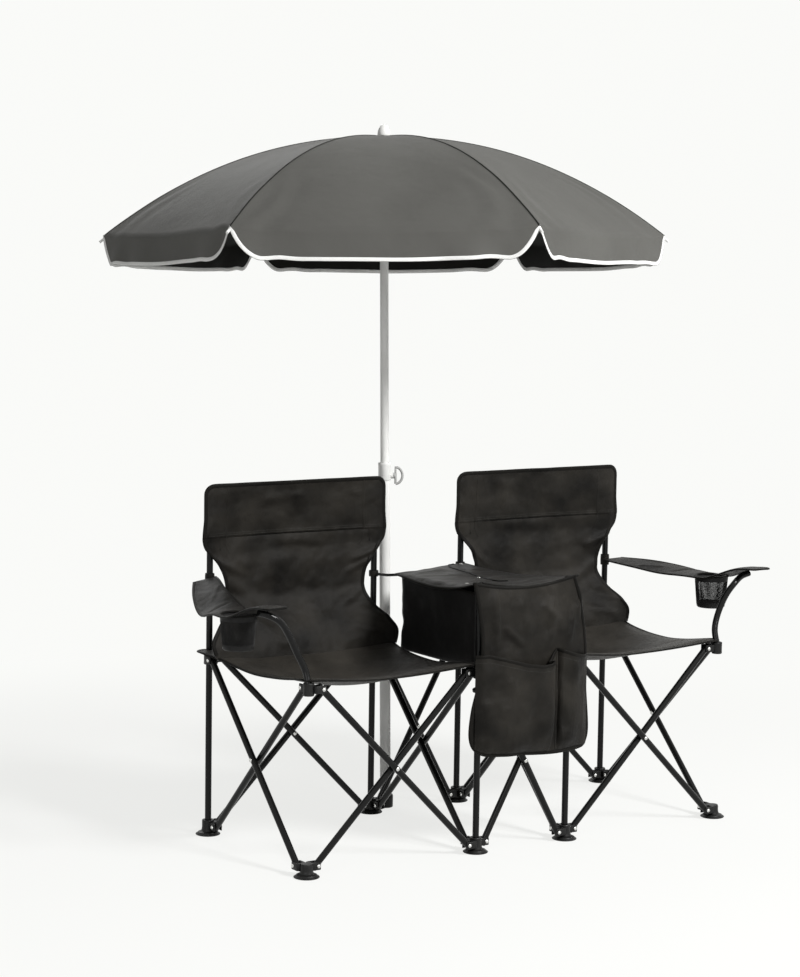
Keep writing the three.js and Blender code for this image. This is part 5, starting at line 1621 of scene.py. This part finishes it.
def strap_grid(hand, outer_x, outward, seed):
    """An arm strap, twisted behind the cup and raised at its front end."""
    share = np.linspace(strap_start / strap_length, 1, 150)[:, None]
    across = spread(29, 0.4)[None, :]
    ending = np.clip((share - 0.945) / strap_end_share, 0, 1)
    half = strap_width / 2 * flowing_share(share, strap_places, strap_widths)
    half = half * (1 - (0.96 * ending) ** 4) ** 0.25
    turn = strap_twist[hand] * flowing_share(share, strap_places, strap_twists)
    reach = arm_reach * flowing_share(share, strap_places, strap_reaches)
    level = strap_level + strap_rear_rise[hand] * flowing_share(share, strap_places, strap_rises)
    level = level + strap_front_rise * stepped(strap_length * share, cup_forward, seat_pitch)
    x = outer_x + outward * reach + across * half * np.cos(turn)
    y = -strap_length * share + 0 * across
    z = level - outward * across * half * np.sin(turn)
    curled = stepped(share, 0.2, 0.45) * (1 - stepped(share, 0.88, 0.97))
    z = z - strap_curl * np.abs(across) ** 3 * curled
    z = z + strap_rumple * rumple(x, y, 17, seed) * (1 - np.abs(across) ** 4)
    lines = []
    for x0, y0, x1, y1, width, height in strap_folds:
        lines.append((outer_x + outward * x0, y0, outer_x + outward * x1, y1, width, height))
    return np.stack([x, y, z + folds(x, y, lines)], axis=-1)


def ring_points(centre, radius, count):
    return [centre + on_circle(radius, math.tau * i / count) for i in range(count)]


def collar(name, x, y, low, high, radius):
    """A short sewn sleeve round a post."""
    swing = np.linspace(0, math.tau, 29)[None, :]
    level = np.linspace(low, high, 5)[:, None]
    bulge = radius + 0.0006 * np.sin(math.pi * (level - low) / (high - low))
    ring = [x + bulge * np.cos(swing), y + bulge * np.sin(swing), level + 0 * swing]
    return cloth(name, np.stack(ring, axis=-1), 0.0018, oxford)


strap_spans = (strap_places, strap_reaches)
cup_reach = arm_reach * float(flowing_share(cup_forward / strap_length, *strap_spans))
low, wide = -cup_depth, cup_floor
cup_base = [(0, low), (wide - 0.003, low), (wide, low + 0.003), (wide + 0.0012, low + 0.014)]
cup_base += [(wide - 0.0008, low + 0.0145), (wide - 0.002, low + 0.004), (0, low + 0.0025)]
cup_band = [(-0.0016, -0.013), (0.0002, -0.0135), (0.0011, -0.002), (-0.0006, -0.002)]
cup_band = [(cup_mouth + a, b) for a, b in [*cup_band, cup_band[0]]]
for hand, outer in (("left", "left_outer"), ("right", "right_outer")):
    outer_x = column_x[outer]
    outward = -1 if hand == "left" else 1
    grid = strap_grid(hand, outer_x, outward, 21.0 if hand == "left" else 27.0)
    cup = Vector((outer_x + outward * cup_reach, -cup_forward, strap_level))
    away = np.hypot(grid[..., 0] - cup.x, grid[..., 1] - cup.y)

    def outside_cup(v, u):
        return away[v : v + 2, u : u + 2].min() > cup_mouth - 0.0045

    strap = cloth(f"{hand}_strap", grid, strap_thickness, oxford, keep=outside_cup)
    rows, columns = grid.shape[:2]
    edging = bind(f"{hand}_strap_binding", grid, three_sides(grid), *strap_edge)
    mouth = []
    for p in ring_points(cup, cup_mouth - 0.001, ring_sides):
        mouth.append(p + up * (0.0006 - 0.0035 * (abs(p.x - cup.x) / cup_mouth) ** 3))
    ups = [up] * ring_sides
    mouth_ring = tape(f"{hand}_cup_ring", mouth, ups, *cup_ring_size, black_tape, True)
    lines = [[(v, u) for v in range(3, rows - 4)] for u in (3, columns - 4)]
    seams = [stitched(grid, line, 0.0016) for line in lines]
    seams.append([p + up * 0.002 for p in ring_points(cup, cup_mouth + 0.0045, 90)])
    sewn = stitches(f"{hand}_strap_stitches", seams, grey_thread)
    points, edges = [], []
    for way in (1, -1):
        for strand in range(net_strands):
            for k in range(net_levels):
                t = k / (net_levels - 1)
                radius = cup_mouth + (cup_floor - cup_mouth) * t - 0.0006 * way
                swing = math.tau * (strand + way * t * net_turn) / net_strands
                if k:
                    edges.append((len(points) - 1, len(points)))
                points.append(cup + on_circle(radius, swing, -0.003 - (cup_depth - 0.012) * t))
    size = {"radius": net_wire, "sides": 4}
    net = grown(f"{hand}_cup_net", tube_tree, points, edges, net_black, **size)
    there = Matrix.Translation(cup)
    base = spun(f"{hand}_cup_floor", cup_base, net_black, there, 48)
    band = spun(f"{hand}_cup_band", cup_band, net_black, there, 48)
    pocket = merged(f"{hand}_cup_pocket", [net, base, band])
    level = strap_level + strap_rear_rise[hand]
    sleeve = collar(f"{hand}_strap_sleeve", outer_x, 0, level - 0.016, level + 0.012, 0.0106)
    body = body_of(f"{outer}_rear_post")
    how = {"axis": (0, 0.925, 0.379), "anchor": (outer_x, 0, 0.64), "keep": strap_folded_share}
    ride_and_fold((strap, edging, mouth_ring, sewn, pocket), body, "fold", **how)
    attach(sleeve, body)
    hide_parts(f"{hand}_arm_rest")


# Table: a cloth top tied between the four inner posts, with the cooler's lid cut in it. The cooler
# bag hangs below and the organizer hangs from the front edge.
table_level = 0.638
table_middle_rise = 0.010
table_corner_rise = 0.020
table_front = 0.5025
table_side = 0.014
table_thickness = 0.003
lid_edge_size = (0.0065, 0.0034)
tie_radius = 0.0036
collar_radius = 0.0112
left_droop = 0.013
right_droop = 0.005
droop_share = 0.075
table_folds = [
    (0.02, -0.40, 0.11, -0.44, 0.012, 0.0042),
    (0.262, -0.40, 0.17, -0.43, 0.012, 0.0040),
    (0.02, -0.17, 0.14, -0.22, 0.014, 0.0028),
    (0.05, -0.13, 0.16, -0.10, 0.011, 0.0032),
    (0.14, -0.47, 0.235, -0.463, 0.009, 0.0024),
]


def table_point(u, v):
    """The plain table: wider and higher towards its front corners."""
    x = -table_side * v + (table_gap + 2 * table_side * v) * u
    rear = -0.100 + 0.090 * u
    y = rear + (-table_front - rear) * v
    z = table_level + (table_middle_rise + table_corner_rise * (2 * u - 1) ** 2) * v**3
    return x, y, z


across, along = (spread(65, 0.5) + 1)[None, :] / 2, (spread(61, 0.5) + 1)[:, None] / 2
x, y, z = table_point(across, along)
for side_share, droop in ((across, left_droop), (1 - across, right_droop)):
    near_side = np.maximum(1 - side_share / droop_share, 0) ** 1.5
    z = z - droop * near_side * np.sin(math.pi * np.clip(along, 0, 1)) ** 1.2
for height, scale, seed, lift in ((0.0021, 13, 31.0, 0.6), (0.0012, 31, 37.0, 0.5)):
    z = z + height * (rumple(x, y, scale, seed) + lift) * np.sin(math.pi * across) ** 0.4
z = z + folds(x, y, table_folds)
z = z - 0.004 * np.maximum(1 - along / 0.05, 0) ** 1.5 * np.sin(math.pi * across)
top = np.stack([x, y, z], axis=-1)
rows, columns = top.shape[:2]
half = columns // 2
table_bodies = {"left": "left_inner_rear_post", "right": "right_inner_rear_post"}


def on_table(x_wanted, y_wanted, lift):
    """A point on the table's upper face."""
    away = np.hypot(top[..., 0] - x_wanted, top[..., 1] - y_wanted)
    spot = np.unravel_index(int(np.argmin(away)), away.shape)
    return Vector((x_wanted, y_wanted, float(top[spot][2]) + lift))


table_soft = {}
for side in ("left", "right"):
    part_columns = slice(0, half + 1) if side == "left" else slice(half, None)
    half_top = part(top, slice(None), part_columns)
    sheet = cloth(f"table_{side}", thickness=table_thickness, finish=oxford, **half_top)
    inner = range(half, -1, -1) if side == "left" else range(half, columns)
    edge = 0 if side == "left" else columns - 1
    cells = [(0, u) for u in inner] + [(v, edge) for v in range(1, rows)]
    cells += [(rows - 1, u) for u in reversed(inner)][1:]
    edging = bind(f"table_{side}_binding", top, cells, *table_edge)
    seam_column = 4 if side == "left" else columns - 5
    lines = [[(v, seam_column) for v in range(4, rows - 4)]]
    lines += [[(row, u) for u in inner][: half - 3] for row in (rows - 5, 4)]
    seams = [stitched(top, line, -0.0016) for line in lines]
    sewn = stitches(f"table_{side}_stitches", seams, grey_thread)
    table_soft[side] = [sheet, edging, sewn]

lid_line = [(0.225, -0.034), (0.205, -0.045), (0.193, -0.065), (0.182, -0.10), (0.168, -0.17)]
lid_line += [(0.152, -0.25), (0.138, -0.32), (0.132, -0.345), (0.138, -0.365), (0.155, -0.378)]
lid_points = [on_table(p.x, p.y, 0.0024) for p in flowing([(*p, 0) for p in lid_line], 6)]
lid_ups = [up] * len(lid_points)
lid_edge = tape("cooler_lid_edge", lid_points, lid_ups, *lid_edge_size, black_tape)
table_soft["right"].append(lid_edge)
snap_places = {"left": [(0.027, -0.385)], "right": [(0.252, -0.030), (0.144, -0.268)]}
for side, places in snap_places.items():
    spots = [(on_table(a, b, 0.0014), up) for a, b in places]
    table_soft[side].append(domed(f"table_{side}_snaps", spots, 0.0045, 0.002, 18))
tie_line = [(0.002, -0.0125, 0.6275), (0.0035, -0.055, 0.6300)]
tie_line += [(0.006, -0.090, 0.6345), (0.010, -0.106, 0.637)]
tie = tube("table_tie", flowing(tie_line, 6), tie_radius, net_black, 14)
table_soft["left"].append(tie)
table_collars = [
    ("table_front_left_sleeve", "left_inner_front_post", 0, -seat_pitch, 0.642, 0.663),
    ("table_front_right_sleeve", "right_inner_front_post", table_gap, -seat_pitch, 0.642, 0.663),
    ("table_tie_sleeve", "left_inner_rear_post", 0, 0, 0.6205, 0.6355),
    ("table_rear_right_sleeve", "right_inner_rear_post", table_gap, 0, 0.6205, 0.641),
]
for name, post, *place in table_collars:
    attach(collar(name, *place, collar_radius), body_of(post))
table_fold = {"axis": (0, 1, 0), "anchor": (0, 0, 0), "keep": folded_share}
for side, soft_pieces in table_soft.items():
    ride_and_fold(soft_pieces, body_of(table_bodies[side]), "fold", **table_fold)
    sheet = soft_pieces[0]
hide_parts("table_top")


# Cooler bag: a lined tub under the table, piped at its four upright edges and sewn in two halves.
cooler_left = 0.0155
cooler_right = table_gap - cooler_left
cooler_front = 0.4395
cooler_rear = 0.1065
cooler_rim = 0.634
cooler_base = 0.4495
tub_corner = 0.012
cooler_thickness = 0.003
floor_drop = 0.0035
wall_rows = 26
piping_radius = 0.0022
lining_dark, lining_light = (0.0045, 0.0043, 0.0042), (0.0085, 0.008, 0.0078)
lining = woven("black_lining", lining_dark, lining_light, 0.0016, 0.0001, 0.42, 0.1, 6.0)
piping_dark, piping_light = (0.007, 0.0068, 0.0065), (0.012, 0.0116, 0.0112)
piping_black = coated("black_piping", piping_dark, piping_light, 0.4, 0.6, 800, 0.00004)
tub_middle = Vector((table_gap / 2, -(cooler_front + cooler_rear) / 2, 0))


def tub_half(side):
    """Half of the tub: down its wall and then in to the middle of its floor."""
    wide, deep = (cooler_right - cooler_left) / 2, (cooler_front - cooler_rear) / 2
    way, inset = -1 if side == "left" else 1, tub_corner
    turns = np.linspace(0, math.pi / 2, 7)
    plan = [(wide * t, deep, 0) for t in (0, 0.3, 0.6, 0.85)]
    for a in turns:
        plan.append((wide - inset + inset * math.sin(a), deep - inset + inset * math.cos(a), 0))
    steps = (0.85, 0.65, 0.45, 0.25, 0.08)
    plan += [(wide, deep * t, 0) for t in (*steps, *[-t for t in reversed(steps)])]
    for a in turns:
        plan.append((wide - inset + inset * math.cos(a), -deep + inset - inset * math.sin(a), 0))
    plan += [(wide * t, -deep, 0) for t in (0.85, 0.6, 0.3, 0)]
    line = np.array([(way * p.x, p.y) for p in flowing(plan, 2)])
    rings = []
    for t in np.linspace(0, 1, wall_rows):
        rings.append((1.0, cooler_rim + (cooler_base - cooler_rim) * t, math.sin(math.pi * t)))
    for k in range(1, 5):
        a = math.pi / 2 * k / 4
        rings.append((1 - 0.03 * (1 - math.cos(a)), cooler_base - floor_drop * math.sin(a), 0))
    for scale in (0.9, 0.75, 0.6, 0.4, 0.2, 0.02):
        rings.append((scale * 0.97, cooler_base - floor_drop - 0.002 * (1 - scale), 0))
    grid = []
    for scale, z, slack in rings:
        x, y = line[:, 0] * scale, line[:, 1] * scale
        wavy = np.array([noise.noise(Vector((a * 11, b * 11, z * 14 + 51))) for a, b in line])
        fine = np.array([noise.noise(Vector((a * 26, b * 26, z * 30 + 57))) for a, b in line])
        pull = 1 - slack * (0.03 + 0.05 * wavy + 0.02 * fine) * (np.abs(line[:, 0]) > 0.002)
        pull = np.minimum(pull, 1.0)
        places = [tub_middle.x + x * pull, tub_middle.y + y * pull, z + 0 * x]
        grid.append(np.stack(places, axis=-1))
    return np.array(grid)


for side in ("left", "right"):
    grid = tub_half(side)
    if side == "right":
        grid = grid[:, ::-1]
    bag = cloth(f"cooler_{side}", grid, cooler_thickness, lining)
    plan = grid[0]
    pipes = []
    for y_corner in (-cooler_front, -cooler_rear):
        x_corner = cooler_left if side == "left" else cooler_right
        u = int(np.argmin(np.hypot(plan[:, 0] - x_corner, plan[:, 1] - y_corner)))
        out = (Vector((*plan[u][:2], 0)) - tub_middle).normalized()
        line = [Vector(grid[v, u]) + out * 0.0014 for v in range(wall_rows + 2)]
        pipes.append(tube("cooler_pipe", line, piping_radius, piping_black, 10))
    piping = merged(f"cooler_{side}_piping", pipes)
    rim_cells, seam_cells = ([(row, u) for u in range(grid.shape[1])] for row in (0, 2))
    rim = bind(f"cooler_{side}_rim", grid, rim_cells, *rim_edge)
    seam = stitched(grid, seam_cells, 0.0016)
    sewn = stitches(f"cooler_{side}_stitches", [seam], grey_thread)
    soft_pieces = (bag, piping, rim, sewn)
    ride_and_fold(soft_pieces, body_of(table_bodies[side]), "fold", **table_fold)
    if side == "left":
        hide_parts("cooler_bag")


# Organizer: a shaped panel that hangs from the table's front edge, with a wide and a narrow pocket
# sewn on, all of it bound round the edge.
panel_left = -0.044
panel_width = 0.358
panel_top = 0.670
panel_height = 0.438
panel_middle = 0.5062
panel_side = [(0.02, 0), (0.062, 0.16), (0.095, 0.36), (0.072, 0.55), (0.018, 0.72)]
panel_side += [(0.003, 0.86), (0.03, 0.925), (0.09, 0.962)]
panel_foot = [(0.09, 0.962), (0.14, 0.975), (0.39, 0.985), (0.64, 1.0), (0.95, 0.985)]
panel_foot.append((0.978, 0.968))
panel_far = [(0.866, 0), (0.9, 0.09), (0.95, 0.265), (0.975, 0.44), (0.975, 0.61)]
panel_far += [(1.0, 0.905), (0.978, 0.968)]
panel_head = [(0.02, 0), (0.22, 0.03), (0.44, 0.04), (0.66, 0.028), (0.866, 0)]
panel_folds = [
    (0.022, 0.655, 0.030, 0.50, 0.010, 0.004),
    (0.20, 0.655, 0.185, 0.50, 0.012, 0.0035),
    (0.10, 0.640, 0.12, 0.53, 0.016, 0.003),
    (0.262, 0.600, 0.245, 0.50, 0.009, 0.003),
    (0.045, 0.560, 0.110, 0.505, 0.008, 0.003),
    (0.160, 0.610, 0.215, 0.560, 0.009, 0.0026),
    (0.285, 0.655, 0.272, 0.560, 0.008, 0.0032),
]
panel_thickness = 0.0028
pocket_thickness = 0.0026
pocket_seat = 0.0034
pocket_waves = (0.0052, 0.0034)
divider_size = (0.006, 0.0026)
divider_low = 0.243
divider_top = 0.486
pocket_inset = 0.004
organizer_folded_share = 0.33
pocket_split = 0.2066


def even_line(points, count):
    """A smooth curve through some points, cut into equal lengths."""
    line = np.array([(p.x, p.y) for p in flowing([(a, b, 0) for a, b in points], 12)])
    run = np.concatenate([[0], np.cumsum(np.linalg.norm(np.diff(line, axis=0), axis=1))])
    places = np.linspace(0, run[-1], count)
    return np.stack([np.interp(places, run, line[:, k]) for k in (0, 1)], axis=-1)


panel_rows, panel_columns = 81, 65
side_line, far_line = (even_line(line, panel_rows)[:, None] for line in (panel_side, panel_far))
head_line, foot_line = (even_line(line, panel_columns)[None] for line in (panel_head, panel_foot))
s = np.linspace(0, 1, panel_columns)[None, :, None]
t = np.linspace(0, 1, panel_rows)[:, None, None]
flat = (1 - s) * side_line + s * far_line + (1 - t) * head_line + t * foot_line
flat = flat - (1 - s) * (1 - t) * head_line[:, :1] - s * (1 - t) * head_line[:, -1:]
flat = flat - (1 - s) * t * foot_line[:, :1] - s * t * foot_line[:, -1:]
px = panel_left + panel_width * flat[..., 0]
pz = panel_top - panel_height * flat[..., 1]
loose = np.minimum(1, (panel_top - pz) / 0.06)
loose = loose * np.clip(1.4 * np.sin(math.pi * s[..., 0]), 0, 1)
py = -panel_middle - 0.0075 * loose * (0.8 + rumple(px, pz, 9, 61.0))
py = py - 0.0048 * (0.8 + rumple(px, pz, 20, 63.0)) * loose
py = py - 1.8 * folds(px, pz, panel_folds)
panel = np.stack([px, py, pz], axis=-1)
organizer_panel = cloth("organizer_panel", panel[:, ::-1], panel_thickness, oxford)
organizer_edge = bind("organizer_binding", panel, three_sides(panel), *panel_edge)
head_cells = [(0, u) for u in range(panel_columns)]
head_edge = bind("organizer_top_binding", panel, head_cells, *panel_head_edge)


def panel_face(x_wanted, z_wanted):
    """How far forward the panel is at a place."""
    away = np.hypot(panel[..., 0] - x_wanted, panel[..., 2] - z_wanted)
    return float(panel[np.unravel_index(int(np.argmin(away)), away.shape)][1])


pocket_foot_places = [0.02, 0.09, 0.14, 0.39, 0.64, 0.95, 0.985]
pocket_foot_levels = [0.93, 0.955, 0.968, 0.978, 0.992, 0.978, 0.962]
pocket_rows = 41


def pocket_grid(plan, mouth, seed):
    """A pocket from a plan (place, how far it stands out) and the height of its mouth."""
    places, levels = zip(*mouth)
    grid = []
    for k in range(pocket_rows):
        t = k / (pocket_rows - 1)
        row = []
        for p in flowing([(a, b, 0) for a, b in plan], 8):
            x = p.x
            share = (x - panel_left) / panel_width
            depth = float(np.interp(share, pocket_foot_places, pocket_foot_levels))
            foot = panel_top - panel_height * depth + pocket_inset
            z = foot + (float(np.interp(x, places, levels)) - foot) * t
            fill = min(t / 0.3, 1)
            stand = p.y * (1 - (1 - fill) ** 2.4) ** 0.6 * (0.62 + 0.38 * t)
            wave = pocket_waves[0] * noise.noise(Vector((x * 15, z * 13, seed)))
            wave += pocket_waves[1] * noise.noise(Vector((x * 27, z * 24, seed + 3)))
            loose = min(1, p.y / 0.008) * min(t / 0.1, 1)
            stand += max(wave + 0.0044, 0) * loose
            row.append((x, panel_face(x, z) - pocket_seat - stand, z))
        grid.append(row)
    return np.array(grid)


wide_plan = [(-0.030, 0), (-0.018, 0.007), (0.02, 0.015), (0.07, 0.019), (0.13, 0.021)]
wide_plan += [(0.168, 0.022), (0.184, 0.0195), (0.1835, 0.010), (0.180, 0.004)]
wide_plan += [(0.192, 0.0015), (0.2045, 0)]
wide_mouth = [(-0.030, 0.4925), (0.0, 0.494), (0.05, 0.481), (0.10, 0.467), (0.15, 0.459)]
wide_mouth += [(0.175, 0.4605), (0.184, 0.466), (0.195, 0.482), (0.2045, 0.492)]
narrow_plan = [(0.2085, 0), (0.214, 0.006), (0.225, 0.011), (0.25, 0.0145), (0.28, 0.010)]
narrow_plan += [(0.296, 0.004), (0.3045, 0)]
narrow_mouth = [(0.2085, 0.494), (0.225, 0.489), (0.25, 0.480), (0.28, 0.473), (0.3045, 0.471)]
pocket_soft = []
for name, plan, mouth, flat_size, seed in (
    ("wide", wide_plan, wide_mouth, (0.27, 0.225), 71.0),
    ("narrow", narrow_plan, narrow_mouth, (0.105, 0.23), 77.0),
):
    grid = pocket_grid(plan, mouth, seed)
    layer = cloth(f"{name}_pocket", grid[::-1, ::-1], pocket_thickness, oxford)
    last, count = pocket_rows - 1, grid.shape[1]
    mouth_cells = [(last, u) for u in range(count)]
    hem = bind(f"{name}_pocket_hem", grid, mouth_cells, *pocket_edge)
    line = stitched(grid, [(last - 3, u) for u in range(2, count - 2)], seam_lift)
    sewn = stitches(f"{name}_pocket_stitches", [line], grey_thread)
    pocket_soft += [layer, hem, sewn]
seam_line = []
for z in np.linspace(divider_low, divider_top, 40):
    seam_line.append(Vector((pocket_split, panel_face(pocket_split, z) - 0.0046, z)))
forwards = [Vector((0, -1, 0))] * len(seam_line)
divider = tape("pocket_divider", seam_line, forwards, *divider_size, oxford)
lines = [[(v, u) for v in range(3, panel_rows - 3)] for u in (4, panel_columns - 5)]
lines.append([(3, u) for u in range(4, panel_columns - 4)])
threads = [stitched(panel, line, 0.0016) for line in lines]
threads.append([p + Vector((0, -0.0016, 0)) for p in seam_line])
panel_stitches = stitches("organizer_stitches", threads, grey_thread)
trim = [organizer_edge, head_edge, divider, panel_stitches]
how = {"axis": (1, 0, 0), "anchor": (0, 0, 0), "keep": organizer_folded_share}
soft_pieces = (organizer_panel, *trim, *pocket_soft)
ride_and_fold(soft_pieces, body_of("left_inner_front_post"), "fold", **how)
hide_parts("organizer")
